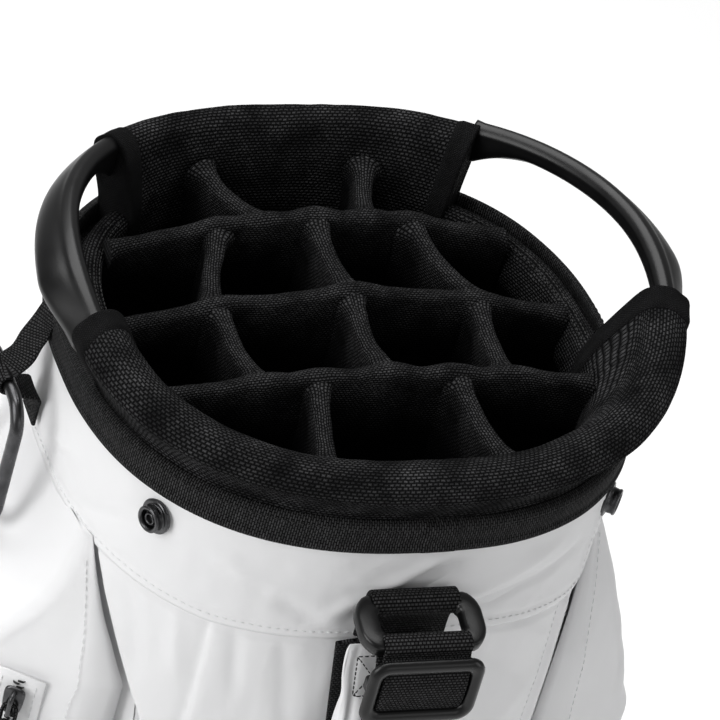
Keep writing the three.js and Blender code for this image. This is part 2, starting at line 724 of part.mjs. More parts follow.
function makeSnaps() {
  const profile = [
    [0, 0],
    [7.4, 0],
    [7.4, 0.7],
    [6.4, 1.4],
    [5.4, 1.4],
    [5.4, 4],
    [4.8, 4.6],
    [3.4, 4.6],
    [3.4, 2.4],
    [2.4, 2.4],
    [2.4, 3.6],
    [0, 3.6],
  ].map(([x, y]) => new THREE.Vector2(x, y));
  const angles = { front_left: 217.3, front_right: 322.7, rear_left: 128, rear_right: 52 };
  for (const [name, angle] of Object.entries(angles)) {
    const seat = grown(TUBE, GAP + 1.3);
    const r = ovalRadius(angle, seat);
    const at = new THREE.Vector2(r * Math.cos(radians(angle)), r * Math.sin(radians(angle)));
    const normal = new THREE.Vector3(
      Math.sign(at.x) * (Math.abs(at.x) / seat.a) ** (OVAL_POWER - 1) / seat.a,
      Math.sign(at.y) * (Math.abs(at.y) / seat.b) ** (OVAL_POWER - 1) / seat.b,
      0,
    ).normalize();
    const snap = add(`hood_snap_${name}`, new THREE.LatheGeometry(profile, 20), gunmetal);
    snap.quaternion.setFromUnitVectors(new THREE.Vector3(0, 1, 0), normal);
    snap.position.set(at.x, at.y, SNAP_HEIGHT).addScaledVector(normal, 0.8);
  }
}

// ---------------------------------------------------------------- shoulder strap
const STRAP_LOOP = {
  rearY: -121,
  rearZ: DIVIDER_TOP - 57,
  frontY: -140.5,
  frontZ: DIVIDER_TOP - 62,
  wide: 47,
};
const STRIP_FACE = -147; // front face of the free webbing
const PAD_BODY = { half: 28, rear: -123.5, front: -137, low: 300, high: DIVIDER_TOP - 75 };

// A strip of webbing drawn from the side as [y, z] points and given the webbing's width.
function webbing(outline, holes = []) {
  const flat = (points) => points.map(([y, z]) => new THREE.Vector2(y, z));
  const geometry = prism(flat(outline), -WEBBING.width / 2, WEBBING.width / 2, holes.map(flat));
  const turn = new THREE.Matrix4().makeBasis(
    new THREE.Vector3(0, 1, 0),
    new THREE.Vector3(0, 0, 1),
    new THREE.Vector3(1, 0, 0),
  );
  return geometry.applyMatrix4(turn);
}

const square = (y, z, half) => [
  [y - half, z - half],
  [y + half, z - half],
  [y + half, z + half],
  [y - half, z + half],
];

function makeStrap() {
  const { rearY, rearZ, frontY, frontZ, wide } = STRAP_LOOP;
  const thick = WEBBING.thick;
  const seat = -(TUBE.b + GAP + 1.3 + GAP);
  const anchor = webbing([
    [seat, rearZ - 20],
    [seat, rearZ + 5.6],
    [rearY - 5.6, rearZ + 5.6],
    [rearY - 5.6, rearZ - 5.6],
    [seat - thick, rearZ - 5.6],
    [seat - thick, rearZ - 20],
  ]);
  const rearHole = toSolid(webbing(square(rearY, rearZ, 4)).scale(1.2, 1, 1));
  add("strap_anchor", toGeometry(toSolid(anchor).subtract(rearHole)), blackWebbing);

  const tilt = new THREE.Vector3(0, frontY - rearY, frontZ - rearZ);
  const reach = tilt.length();
  const out = tilt.clone().normalize();
  const up = new THREE.Vector3(1, 0, 0).cross(out).normalize();
  const centre = new THREE.Vector3(0, (rearY + frontY) / 2, (rearZ + frontZ) / 2);
  const rim = roundedRectangle(wide, reach, 4, 3).map((p) =>
    centre.clone().add(new THREE.Vector3(p.x, 0, 0)).addScaledVector(out, p.y),
  );
  add("strap_loop", closedBar(rim, up, 2.4, 3.3, 8), blackPlastic);

  const strip = webbing([
    [frontY + 5.6, frontZ - 5.6],
    [frontY + 5.6, frontZ + 5.6],
    [STRIP_FACE, frontZ + 5.6],
    [STRIP_FACE, 615],
    [PAD_BODY.front - GAP - thick, 590],
    [PAD_BODY.front - GAP - thick, 540],
    [PAD_BODY.front - GAP, 540],
    [PAD_BODY.front - GAP, 590],
    [STRIP_FACE + thick, 615],
    [STRIP_FACE + thick, frontZ - 5.6],
  ]);
  const frontHole = toSolid(webbing(square(frontY, frontZ, 4)).scale(1.2, 1, 1));
  add("strap_webbing", toGeometry(toSolid(strip).subtract(frontHole)), blackWebbing);

  // The slider's frame lies in front of the webbing and its middle bar behind, as the webbing is threaded.
  const middle = DIVIDER_TOP - 79.5;
  const standing = (wideX, tallZ, corner, y0, y1) =>
    prism(roundedRectangle(wideX, tallZ, corner), 0, y1 - y0)
      .rotateX(Math.PI / 2)
      .translate(0, y1, middle);
  const frame = toSolid(standing(51, 33, 7, STRIP_FACE - 4, STRIP_FACE - GAP));
  const window = toSolid(standing(39, 21, 3, STRIP_FACE - 6, STRIP_FACE + 2));
  const rails = joined(
    box(-25, -20, STRIP_FACE - 2, STRIP_FACE + thick + 3.5, middle - 5, middle + 5),
    box(20, 25, STRIP_FACE - 2, STRIP_FACE + thick + 3.5, middle - 5, middle + 5),
    box(-25, 25, STRIP_FACE + thick + GAP, STRIP_FACE + thick + 3.5, middle - 3.5, middle + 3.5),
  );
  add("strap_slider", toGeometry(frame.subtract(window).add(rails)), blackPlastic);

  const { half, rear, front, low, high } = PAD_BODY;
  const padOutline = roundedRectangle(2 * half, rear - front, 5, 3).map(
    (p) => new THREE.Vector2(p.x, p.y + (rear + front) / 2),
  );
  add("strap_pad", prism(padOutline, low, high), whiteFabric);

  const mid = (rear + front) / 2;
  const foot = -(TUBE.b + 6.5 + GAP + 0.3);
  const tail = webbing([
    [mid + thick / 2, low - GAP],
    [mid + thick / 2, 230],
    [foot, 200],
    [foot, 150],
    [foot - thick, 150],
    [foot - thick, 200],
    [mid - thick / 2, 230],
    [mid - thick / 2, low - GAP],
  ]);
  add("strap_tail", tail, blackWebbing);
}

makeBase();
makeTube();
makeFrame();
makeCuffs();
makeSides();
makeDividers();
makePockets();
makeZips();
makeTowelRing();
makeSnaps();
makeStrap();

export default bag;
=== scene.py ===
import math

import bmesh
import bpy
import numpy as np
from mathutils import Matrix, Vector


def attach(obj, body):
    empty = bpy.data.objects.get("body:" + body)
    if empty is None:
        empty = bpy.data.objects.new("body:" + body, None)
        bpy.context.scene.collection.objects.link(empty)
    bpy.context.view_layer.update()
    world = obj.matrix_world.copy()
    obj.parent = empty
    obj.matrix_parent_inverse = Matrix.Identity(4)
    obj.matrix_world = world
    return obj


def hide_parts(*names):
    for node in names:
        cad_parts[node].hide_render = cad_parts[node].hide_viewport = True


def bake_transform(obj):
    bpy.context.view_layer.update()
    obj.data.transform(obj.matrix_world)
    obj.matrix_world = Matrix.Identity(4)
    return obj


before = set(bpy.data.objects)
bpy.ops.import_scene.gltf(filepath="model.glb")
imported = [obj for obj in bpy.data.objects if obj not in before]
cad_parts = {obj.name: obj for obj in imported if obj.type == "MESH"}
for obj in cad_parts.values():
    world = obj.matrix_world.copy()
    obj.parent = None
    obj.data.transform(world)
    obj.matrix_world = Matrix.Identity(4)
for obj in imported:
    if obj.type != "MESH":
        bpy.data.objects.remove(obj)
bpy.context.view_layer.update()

# Lengths below are millimetres; meshes are written in metres. The strap side of the bag faces -Y.
MM = 0.001
UV_SCALE = 0.01  # one unit of a UV map is 100 mm
CAMERA_TURN = (-28.5, 38.1, 16.7)  # azimuth, elevation and roll in degrees
CAMERA_LENS = 367.5
CAMERA_DISTANCE = 3.0  # metres
DIVIDER_TOP = 858.0
OVAL_POWER = 2.4
TUBE = (117.0, 112.0)
CREST = (123.0, 108.5)
WELL = (98.0, 97.0)
COLLAR_FOOT = DIVIDER_TOP - 36.0
FRAME_DEPTH = 42.0
PAD_FOOT = COLLAR_FOOT - FRAME_DEPTH
SKIRT = (TUBE[0] - 1.2, TUBE[1] - 1.2)
FRONT_ROOT = 11.3
REAR_ROOT = 47.5
BINDING = 3.9
HANDLE_RADIUS = 123.0
YOKE_FOOT = COLLAR_FOOT - 44.0
BOOT_TOP = 78.0
POCKET_FOOT = BOOT_TOP + 4.0
TUBE_FOOT = 11.1
POCKET_FRONT = -79.0  # where a side pocket leaves the tube towards the strap
WEAVE = 0.55  # pitch of the white cloth's threads
COLLAR_SAMPLES = 64  # points round a section of the collar
SIDES = (("right", 1), ("left", -1))


# ------------------------------------------------------------ camera
def make_camera():
    azimuth, elevation, roll = (math.radians(v) for v in CAMERA_TURN)
    back = Vector((
        math.sin(azimuth) * math.cos(elevation),
        -math.cos(azimuth) * math.cos(elevation),
        math.sin(elevation),
    ))
    level = Vector((math.cos(azimuth), math.sin(azimuth), 0))
    upright = back.cross(level)
    right = math.cos(roll) * level + math.sin(roll) * upright
    up = -math.sin(roll) * level + math.cos(roll) * upright
    data = bpy.data.cameras.new("camera")
    data.sensor_width = 36
    data.lens = CAMERA_LENS
    data.clip_end = 100
    camera = bpy.data.objects.new("camera", data)
    bpy.context.scene.collection.objects.link(camera)
    target = Vector((0, 0.007, DIVIDER_TOP * MM)) + 0.0041 * right - 0.0298 * up
    turn = Matrix((right, up, back)).transposed().to_4x4()
    camera.matrix_world = Matrix.Translation(target + CAMERA_DISTANCE * back) @ turn
    bpy.context.scene.camera = camera


make_camera()


# ------------------------------------------------------------ materials
def nodes_of(name, base, roughness, metallic=0.0, specular=0.5):
    made = bpy.data.materials.new(name)
    made.use_nodes = True
    tree = made.node_tree
    shader = tree.nodes["Principled BSDF"]
    shader.inputs["Base Color"].default_value = (*base, 1)
    shader.inputs["Roughness"].default_value = roughness
    shader.inputs["Metallic"].default_value = metallic
    shader.inputs["Specular IOR Level"].default_value = specular
    return made, tree, shader


def node(tree, kind, inputs, out=0, **props):
    """One output of a new shader node. Each input is a number, a colour or another node's output."""
    made = tree.nodes.new("ShaderNode" + kind)
    for key, value in props.items():
        setattr(made, key, value)
    for key, value in inputs.items():
        if isinstance(value, bpy.types.NodeSocket):
            tree.links.new(value, made.inputs[key])
        else:
            made.inputs[key].default_value = value
    return made.outputs[out]


def place(tree, space, scale):
    """Texture coordinates in the mesh's own space or its UV map, scaled."""
    coordinates = node(tree, "TexCoord", {}, out=space)
    return node(tree, "Mapping", {"Vector": coordinates, "Scale": scale})


def product(tree, first, second):
    return node(tree, "Math", {0: first, 1: second}, operation="MULTIPLY")


def mapped(tree, value, low, high, to_low=0.0, to_high=1.0):
    """value stretched so that low becomes to_low and high becomes to_high, clamped."""
    ends = {"From Min": low, "From Max": high, "To Min": to_low, "To Max": to_high}
    return node(tree, "MapRange", {"Value": value, **ends})


def clouds(tree, scale, detail, **more):
    """Noise in the mesh's own space."""
    inputs = {"Vector": place(tree, "Object", scale), "Scale": 1.0, "Detail": detail, **more}
    return node(tree, "TexNoise", inputs)


def tint(tree, shader, amount, first, second):
    mix = node(tree, "MixRGB", {"Fac": amount, "Color1": (*first, 1), "Color2": (*second, 1)})
    tree.links.new(mix, shader.inputs["Base Color"])


def bumped(tree, shader, height, strength, distance, **under):
    normal = node(tree, "Bump", {"Height": height, "Strength": strength, "Distance": distance, **under})
    tree.links.new(normal, shader.inputs["Normal"])
    return normal


def stitch_rows(tree, uv, length, row, gap, dull):
    """Rows of short stitches, each row half a stitch along: their height, and a shade for each stitch."""
    gaps = node(
        tree, "TexBrick",
        {
            "Vector": uv, "Scale": 1.0, "Mortar Size": gap * row, "Mortar Smooth": 1.0,
            "Brick Width": length, "Row Height": row,
            "Color1": (1, 1, 1, 1), "Color2": (dull, dull, dull, 1), "Mortar": (0, 0, 0, 1),
        },
        out="Fac", offset=0.5,
    )
    height = node(tree, "Math", {0: 1.0, 1: gaps}, operation="SUBTRACT")
    return height, node(tree, "RGBToBW", {"Color": gaps.node.outputs["Color"]})


def knitted(name, length, row, dark, light, depth, shade_depths=None):
    """Spacer mesh. With shade_depths, the cloth gets darker from the upper of those heights down to the
    lower: painted shade down in the wells.
    """
    made, tree, shader = nodes_of(name, dark, 0.85, specular=0.03)
    uv = place(tree, "UV", (100, 100, 100))
    wobble = node(tree, "TexNoise", {"Vector": uv, "Scale": 0.35, "Detail": 1.0}, out="Color")
    wobble = node(tree, "VectorMath", {0: wobble, 1: (0.9, 0.9, 0.9)}, operation="MULTIPLY")
    uv = node(tree, "VectorMath", {0: uv, 1: wobble}, operation="ADD")
    height, shade = stitch_rows(tree, uv, length, row, 0.42, 0.5)
    worn = node(tree, "TexNoise", {"Vector": uv, "Scale": 0.06, "Detail": 3.0})
    level = product(tree, shade, mapped(tree, worn, 0.2, 0.75))
    # painted shade: the colour darkens lower down the dividers, where the wells lie in shadow
    if shade_depths:
        up = node(tree, "SeparateXYZ", {"Vector": place(tree, "Object", (1, 1, 1))}, out="Z")
        level = product(tree, level, mapped(tree, up, shade_depths[0] * MM, shade_depths[1] * MM, 0.08, 1.0))
    # stitches get the light colour and the gaps the dark: partly the knit's own pattern, partly painted
    # glints on the yarn ridges
    tint(tree, shader, level, dark, light)
    bumped(tree, shader, height, 0.9, depth)
    return made


def ribbed(name, length, row, dark, light, depth):
    """Heavy webbing: ribs across the band, each rib a row of small beads."""
    made, tree, shader = nodes_of(name, dark, 0.7, specular=0.05)
    height, shade = stitch_rows(tree, place(tree, "UV", (100, 100, 100)), length, row, 0.3, 0.55)
    tint(tree, shader, shade, dark, light)
    bumped(tree, shader, height, 1.0, depth)
    return made


def coated_cloth(name, low, high):
    """Matt coated nylon: a fine plain weave, faint clouding and shallow handling marks."""
    made, tree, shader = nodes_of(name, high, 0.62, specular=0.28)
    cells = 100 / WEAVE
    threads = {"Vector": place(tree, "UV", (cells, cells, 1)), "Scale": 0.5, "Distortion": 0.6}
    warp, weft = (node(tree, "TexWave", threads, out="Fac", bands_direction=way) for way in "XY")
    tint(tree, shader, mapped(tree, clouds(tree, (9, 9, 5), 4.0, Roughness=0.6), 0.3, 0.7), low, high)
    marks = clouds(tree, (60, 60, 26), 5.0, Roughness=0.62, Distortion=0.6)
    under = bumped(tree, shader, marks, 0.35, 0.0006)
    bumped(tree, shader, product(tree, warp, weft), 0.5, 0.00012, Normal=under)
    shader.inputs["Sheen Weight"].default_value = 0.1
    return made


def polished(tree, shader, rubbed, roughness, less, more):
    """Uneven polish: the roughness strays from its value by less and more."""
    uneven = mapped(tree, rubbed, 0.3, 0.7, roughness - less, roughness + more)
    tree.links.new(uneven, shader.inputs["Roughness"])


def moulded(name, base, roughness, grain=900, depth=0.00006, specular=0.5):
    """Satin moulded plastic with a fine spark grain and uneven polish from handling."""
    made, tree, shader = nodes_of(name, base, roughness, specular=specular)
    rubbed = clouds(tree, (45, 45, 45), 5.0)
    polished(tree, shader, rubbed, roughness, 0.06, 0.08)
    tint(tree, shader, mapped(tree, rubbed, 0.35, 0.75), base, [c * 1.35 for c in base])
    bumped(tree, shader, clouds(tree, (grain, grain, grain), 2.0), 0.5, depth)
    return made


def plated(name, base, roughness):
    """Plated metal with faint tarnish."""
    made, tree, shader = nodes_of(name, base, roughness, metallic=1.0)
    tarnish = clouds(tree, (160, 160, 160), 4.0)
    polished(tree, shader, tarnish, roughness, 0.07, 0.12)
    tint(tree, shader, mapped(tree, tarnish, 0.3, 0.7), base, [c * 0.65 for c in base])
    return made


def thread(name, base):
    made, tree, shader = nodes_of(name, base, 0.6, specular=0.3)
    where = place(tree, "Object", (900, 900, 900))
    waves = {"Vector": where, "Scale": 1.0, "Distortion": 1.5}
    twist = node(tree, "TexWave", waves, out="Fac", bands_direction="DIAGONAL")
    tint(tree, shader, twist, [c * 0.8 for c in base], base)
    bumped(tree, shader, twist, 0.4, 0.0001)
    return made


MATERIALS = {
    "white": coated_cloth("white_nylon", (0.75, 0.75, 0.76), (0.8, 0.8, 0.805)),
    # the light colour of each spacer mesh is partly painted glint on the stitch tops
    "cuff": knitted("spacer_mesh", 2.15, 1.45, (0.0022, 0.0022, 0.0024), (0.075, 0.075, 0.077), 0.0009),
    "divider": knitted(
        "divider_mesh", 1.7, 1.15, (0.0016, 0.0016, 0.0018), (0.085, 0.085, 0.087), 0.0007,
        # heights over which the divider's painted shade fades out towards its top
        (DIVIDER_TOP - 32, DIVIDER_TOP - 6),
    ),
    "piping": ribbed("ribbed_binding", 2.6, 1.05, (0.0014, 0.0014, 0.0015), (0.05, 0.05, 0.051), 0.0009),
    "webbing": ribbed("black_webbing", 1.7, 1.25, (0.0018, 0.0018, 0.0019), (0.05, 0.05, 0.051), 0.0009),
    "binding": knitted("binding_tape", 0.9, 0.7, (0.005, 0.005, 0.0052), (0.03, 0.03, 0.031), 0.0004),
    "plastic": moulded("satin_plastic", (0.0025, 0.0025, 0.0027), 0.33, specular=0.34),
    "boot": moulded("boot_plastic", (0.012, 0.012, 0.0125), 0.5, grain=420, depth=0.00016),
    "rubber": moulded("sole_rubber", (0.012, 0.012, 0.012), 0.8, grain=300, depth=0.0002, specular=0.2),
    "gunmetal": plated("gunmetal", (0.085, 0.085, 0.088), 0.28),
    "aluminium": plated("drawn_aluminium", (0.62, 0.63, 0.64), 0.36),
    "white_thread": thread("white_thread", (0.8, 0.8, 0.81)),
    "black_thread": thread("black_thread", (0.02, 0.02, 0.02)),
}


# ------------------------------------------------------------ shape tools
def radians(angle):
    return np.radians(np.asarray(angle, float))


def oval(angle, size):
    """Distance from the axis to an oval at a polar angle in degrees."""
    c = np.abs(np.cos(radians(angle))) / size[0]
    s = np.abs(np.sin(radians(angle))) / size[1]
    return (c**OVAL_POWER + s**OVAL_POWER) ** (-1 / OVAL_POWER)


def grown(size, by):
    return (size[0] + by, size[1] + by)


def polar(r, angle, z, sx=1):
    """Points at a distance from the axis, an angle in degrees and a height. sx of -1 mirrors them."""
    x, y = sx * r * np.cos(radians(angle)), r * np.sin(radians(angle))
    return np.stack(np.broadcast_arrays(x, y, z), 1)


def outward(angle):
    return (math.cos(math.radians(angle)), math.sin(math.radians(angle)), 0)


def bent(value, power):
    """value with its size raised to a power, for outlines between a circle and a box."""
    return math.copysign(abs(value) ** power, value)


def run_along(points):
    """Distance along a line at each of its points."""
    return np.concatenate([[0], np.cumsum(np.linalg.norm(np.diff(points, axis=0), axis=1))])


def circle(count):
    return np.linspace(0, 2 * math.pi, count, endpoint=False)


def across(v, half, other):
    """Half the oval's other dimension where one coordinate is v."""
    return other * (1 - np.minimum(1, np.abs(v) / half) ** OVAL_POWER) ** (1 / OVAL_POWER)


def smoothstep(value, low, high):
    t = np.clip((np.asarray(value, float) - low) / (high - low), 0, 1)
    return t * t * (3 - 2 * t)


def hill(value, middle, width):
    return np.exp(-(((np.asarray(value, float) - middle) / width) ** 2))


def noise(seed, x, y, period=0):
    """Smooth value noise from -1 to 1. Where period is set, it repeats along x after that many cells."""
    rng = np.random.default_rng(seed)
    table = rng.uniform(-1, 1, (128, 64))
    x, y = np.broadcast_arrays(np.asarray(x, float), np.asarray(y, float))
    x0, y0 = np.floor(x).astype(int), np.floor(y).astype(int)
    fx, fy = x - x0, y - y0
    fx, fy = fx * fx * (3 - 2 * fx), fy * fy * (3 - 2 * fy)
    wrap = period or 128
    a, b = x0 % wrap, (x0 + 1) % wrap
    c, d = y0 % 64, (y0 + 1) % 64
    low = table[a, c] * (1 - fx) + table[b, c] * fx
    high = table[a, d] * (1 - fx) + table[b, d] * fx
    return low * (1 - fy) + high * fy


def curve_through(points, count, closed):
    """count points along a Catmull-Rom curve through control points, spaced evenly by parameter."""
    p = np.asarray(points, float)
    n = len(p)
    spans = n if closed else n - 1
    t = np.arange(count) * spans / count if closed else np.linspace(0, spans, count)
    i = np.minimum(np.floor(t).astype(int), spans - 1)
    f = (t - i)[:, None]

    def at(k):
        return p[k % n] if closed else p[np.clip(k, 0, n - 1)]

    a, b, c, d = at(i - 1), at(i), at(i + 1), at(i + 2)
    return 0.5 * (2 * b + (c - a) * f + (2 * a - 5 * b + 4 * c - d) * f**2 + (3 * b - a - 3 * c + d) * f**3)


def even(points, count, closed=False):
    """The same line as evenly spaced points."""
    p = np.asarray(points, float)
    if closed:
        p = np.vstack([p, p[:1]])
    run = run_along(p)
    at = np.linspace(0, run[-1], count + 1)[:-1] if closed else np.linspace(0, run[-1], count)
    return np.stack([np.interp(at, run, p[:, k]) for k in range(p.shape[1])], 1)


def make_object(name, vertices, faces, loops_uv, finish, body):
    mesh = bpy.data.meshes.new(name)
    mesh.from_pydata((np.asarray(vertices) * MM).tolist(), [], faces)
    if loops_uv is not None:
        layer = mesh.uv_layers.new(name="UVMap")
        layer.data.foreach_set("uv", (np.asarray(loops_uv, float) * UV_SCALE).ravel())
    mesh.polygons.foreach_set("use_smooth", [True] * len(mesh.polygons))
    mesh.materials.append(MATERIALS[finish])
    mesh.validate()
    work = bmesh.new()
    work.from_mesh(mesh)
    bmesh.ops.recalc_face_normals(work, faces=work.faces)
    work.to_mesh(mesh)
    work.free()
    made = bpy.data.objects.new(name, mesh)
    bpy.context.scene.collection.objects.link(made)
    if body:
        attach(made, body)
    return made


def loft(name, rows, finish, body="bag", closed=False, uv=None):
    """A skin through rings of points, shape (rows, points, 3), with its ends capped unless it is closed."""
    rows = np.asarray(rows, float)
    n, m = rows.shape[:2]
    if uv is None:
        ends = [rows[0]] if closed else []
        steps = np.linalg.norm(np.diff(np.array([*rows, *ends]), axis=0), axis=2).mean(1)
        middle = rows[n // 2]
        uv = (np.concatenate([[0], np.cumsum(steps)]), run_along(np.vstack([middle, middle[:1]])))
    u, v = uv
    faces, loops = [], []
    for i in range(n if closed else n - 1):
        k = (i + 1) % n
        for j in range(m):
            l = (j + 1) % m
            faces.append((i * m + j, i * m + l, k * m + l, k * m + j))
            loops += [(u[i], v[j]), (u[i], v[j + 1]), (u[i + 1], v[j + 1]), (u[i + 1], v[j])]
    if not closed:
        for i, turn in ((0, -1), (n - 1, 1)):
            ring = range(m)[::turn]
            faces.append(tuple(i * m + q for q in ring))
            loops += [(rows[i, q, 0], rows[i, q, 2]) for q in ring]
    return make_object(name, rows.reshape(-1, 3), faces, loops, finish, body)


def ring_loft(name, start, stop, steps, section, finish):
    """A skin swept round the bag's axis. section(angle) gives its outline as [radius, height] points."""
    closed = stop - start == 360
    angles = np.linspace(start, stop, steps + 1)[: steps if closed else None]
    rings = [(angle, section(angle)) for angle in angles]
    return loft(name, [polar(ring[:, 0], angle, ring[:, 1]) for angle, ring in rings], finish, closed=closed)


def frames_along(path, side=None, closed=False):
    """Tangent and two unit vectors across a path. side fixes the first of them, as for flat webbing."""
    if closed:
        tangent = np.roll(path, -1, 0) - np.roll(path, 1, 0)
    else:
        tangent = np.gradient(path, axis=0)
    tangent /= np.linalg.norm(tangent, axis=1)[:, None]
    if side is not None:
        first = np.broadcast_to(np.asarray(side, float), path.shape)
        second = np.cross(tangent, first)
        second /= np.linalg.norm(second, axis=1)[:, None]
        return tangent, np.cross(second, tangent), second
    first = np.zeros_like(path)
    start = np.cross(tangent[0], (0, 0, 1) if abs(tangent[0][2]) < 0.9 else (1, 0, 0))
    first[0] = start / np.linalg.norm(start)
    for i in range(1, len(path)):
        carried = first[i - 1] - tangent[i] * (first[i - 1] @ tangent[i])
        first[i] = carried / np.linalg.norm(carried)
    return tangent, first, np.cross(tangent, first)


def swept(name, path, profile, finish, body="bag", side=None, closed=False):
    """profile is [across, out] points carried along the path."""
    path, profile = np.asarray(path, float), np.asarray(profile, float)
    _, first, second = frames_along(path, side, closed)
    rows = path[:, None] + first[:, None] * profile[None, :, :1] + second[:, None] * profile[None, :, 1:]
    uv = (run_along(np.vstack([path, path[:1]])), run_along(np.vstack([profile, profile[:1]])))
    return loft(name, rows, finish, body=body, closed=closed, uv=uv)


def disc(radius, sides=12):
    return np.stack([radius * np.cos(circle(sides)), radius * np.sin(circle(sides))], 1)


def rounded_box(wide, tall, corner, steps=4):
    points = []
    for quarter, (sx, sy) in enumerate(((1, 1), (-1, 1), (-1, -1), (1, -1))):
        for i in range(steps + 1):
            turn = math.radians(90 * (quarter + i / steps))
            points.append((
                sx * (wide / 2 - corner) + corner * math.cos(turn),
                sy * (tall / 2 - corner) + corner * math.sin(turn),
            ))
    return np.array(points)


def strap(name, path, side, width, thick, finish, body="bag"):
    """Flat webbing: a slim band with soft edges, its ribs running across it."""
    profile = rounded_box(width, thick, min(thick * 0.49, 1.0), 3)
    edge = 10
    top = [(x, thick / 2) for x in np.linspace(width / 2 - 1, 1 - width / 2, edge)[1:-1]]
    foot = [(-x, -thick / 2) for x, _ in top]
    profile = np.vstack([profile[:4], top, profile[4:12], foot, profile[12:]])
    made = swept(name, path, profile, finish, body=body, side=side)
    swap_uv(made)
    return made


def swap_uv(made):
    """Turns the UV map a quarter, so that a texture's rows run across the band."""
    layer = made.data.uv_layers[0]
    uv = np.zeros(len(layer.data) * 2)
    layer.data.foreach_get("uv", uv)
    layer.data.foreach_set("uv", uv.reshape(-1, 2)[:, ::-1].ravel())


def stitches(
    name, path, finish="white_thread", body="bag", pitch=3.6, length=2.5, radius=0.32, normal=(0, 0, 1)
):
    """A line of separate stitches lying on a surface, as one piece."""
    path = np.asarray(path, float)
    count = max(2, int(run_along(path)[-1] / pitch))
    fine = even(path, count * 6 + 1)
    normals = even(np.hstack([path, np.broadcast_to(normal, path.shape)]), count * 6 + 1)[:, 3:]
    vertices, faces = [], []
    for k in range(count):
        a, b = fine[k * 6], fine[k * 6 + 6]
        middle, direction = (a + b) / 2, (b - a) / np.linalg.norm(b - a)
        out = normals[k * 6] - direction * (normals[k * 6] @ direction)
        out = out / np.linalg.norm(out)
        sideways = np.cross(direction, out)
        first = len(vertices)
        for t, r in ((-0.5, 0.3), (-0.36, 0.85), (0, 1.0), (0.36, 0.85), (0.5, 0.3)):
            sink = -0.9 * radius * (2 * t) ** 4
            for turn in circle(5):
                offset = sideways * (radius * r * math.cos(turn))
                offset = offset + out * (radius * r * math.sin(turn) + sink)
                vertices.append(middle + direction * (t * length) + offset)
        faces += capped_rings(first, 5, 5)
    uv = np.zeros((sum(len(f) for f in faces), 2))
    return make_object(name, vertices, faces, uv, finish, body)


def capped_rings(first, rings, around):
    """Faces of a closed sleeve whose vertices start at first."""
    faces = []
    for s in range(rings - 1):
        for q in range(around):
            p, w = first + s * around, (q + 1) % around
            faces.append((p + q, p + w, p + around + w, p + around + q))
    last = first + (rings - 1) * around
    return faces + [tuple(first + q for q in range(around))[::-1], tuple(last + q for q in range(around))]


def on_oval(size, start, stop, z, count, lift=0.0):
    """A line round the bag at height z (a number or one per point) with its outward normals."""
    angles = np.linspace(start, stop, count)
    path = polar(oval(angles, size) + lift, angles, z)
    normal = path / (size[0] ** 2, size[1] ** 2, 1) * (1, 1, 0)
    return path, normal / np.linalg.norm(normal, axis=1)[:, None]


def lathe(name, profile, base, axis, finish, sides):
    """profile is [radius, height] points turned about axis from base."""
    turn = np.array(Vector((0, 0, 1)).rotation_difference(axis).to_matrix())
    r, h = np.array(profile).T
    rows = [polar(r, math.degrees(a), h) @ turn.T + np.array(base) for a in circle(sides)]
    return loft(name, rows, finish, closed=True)


# ------------------------------------------------------------ collar
def towards_root(angle, middle, reach):
    return min(1.0, abs(angle - middle) / reach)


def front_cuff_section(angle, swell=0.0):
    end = towards_root(angle, 270, 90 - FRONT_ROOT)
    lift = 5.0 * end**4 * (angle > 270)
    crest = DIVIDER_TOP + 3 + 15 * end**3 + lift
    r, skirt, inside = oval(angle, CREST) + 0.6 * lift, oval(angle, SKIRT), oval(angle, WELL) + 0.3
    z = DIVIDER_TOP
    return [
        (inside, COLLAR_FOOT - 2), (inside + 1 - swell, z - 14), (r - 13 - swell, crest - 8),
        (r - 7, crest - 1.2 + swell), (r, crest + swell), (r + 5.5, crest - 2.5 + swell),
        (r + 8.8 + 1.5 * end + swell, crest - 9),
        (max((r + 8.5 + skirt) / 2 + 2, skirt + 3) + swell, z - 12 + 6 * end),
        (skirt + 0.6, z - 20), (skirt, COLLAR_FOOT - 2), (skirt - 6, COLLAR_FOOT - 2),
    ]


def rear_cuff_section(angle, swell=0.0):
    end = towards_root(angle, 90, 90 - REAR_ROOT)
    crest = DIVIDER_TOP + 12 + 1.5 * end
    r, skirt, inside = oval(angle, CREST), oval(angle, SKIRT), oval(angle, WELL) + 0.3
    z = DIVIDER_TOP
    return [
        (inside, COLLAR_FOOT - 2), (inside + 0.5 - swell, z - 22), ((inside + r - 7) / 2 - swell, z - 4),
        (r - 6.5 - swell, crest - 4.5), (r, crest + swell), (r + 4.5, crest - 2.5 + swell),
        (r + 6.8 + swell, crest - 8), (max((r + 6.5 + skirt) / 2, skirt + 2) + swell, z - 8),
        (skirt + 0.6, z - 20), (skirt, COLLAR_FOOT - 2), (skirt - 6, COLLAR_FOOT - 2),
    ]


def side_rim_section(angle, rise):
    inside, skirt = oval(angle, WELL) + 0.3, oval(angle, SKIRT)
    outside = oval(angle, grown(WELL, 10.5))
    crest = DIVIDER_TOP - 20 + 7 * rise
    return [
        (inside, COLLAR_FOOT - 2), (inside, crest - 7), (inside + 1.2, crest - 2.4),
        (inside + 4, crest - 0.6), (outside - 4, crest - 0.4), (outside - 0.8, crest - 2),
        (outside + 0.6, crest - 6), (outside + 1.2, crest - 9), (skirt, crest - 12), (skirt, COLLAR_FOOT - 2),
        (skirt - 6, COLLAR_FOOT - 2),
    ]


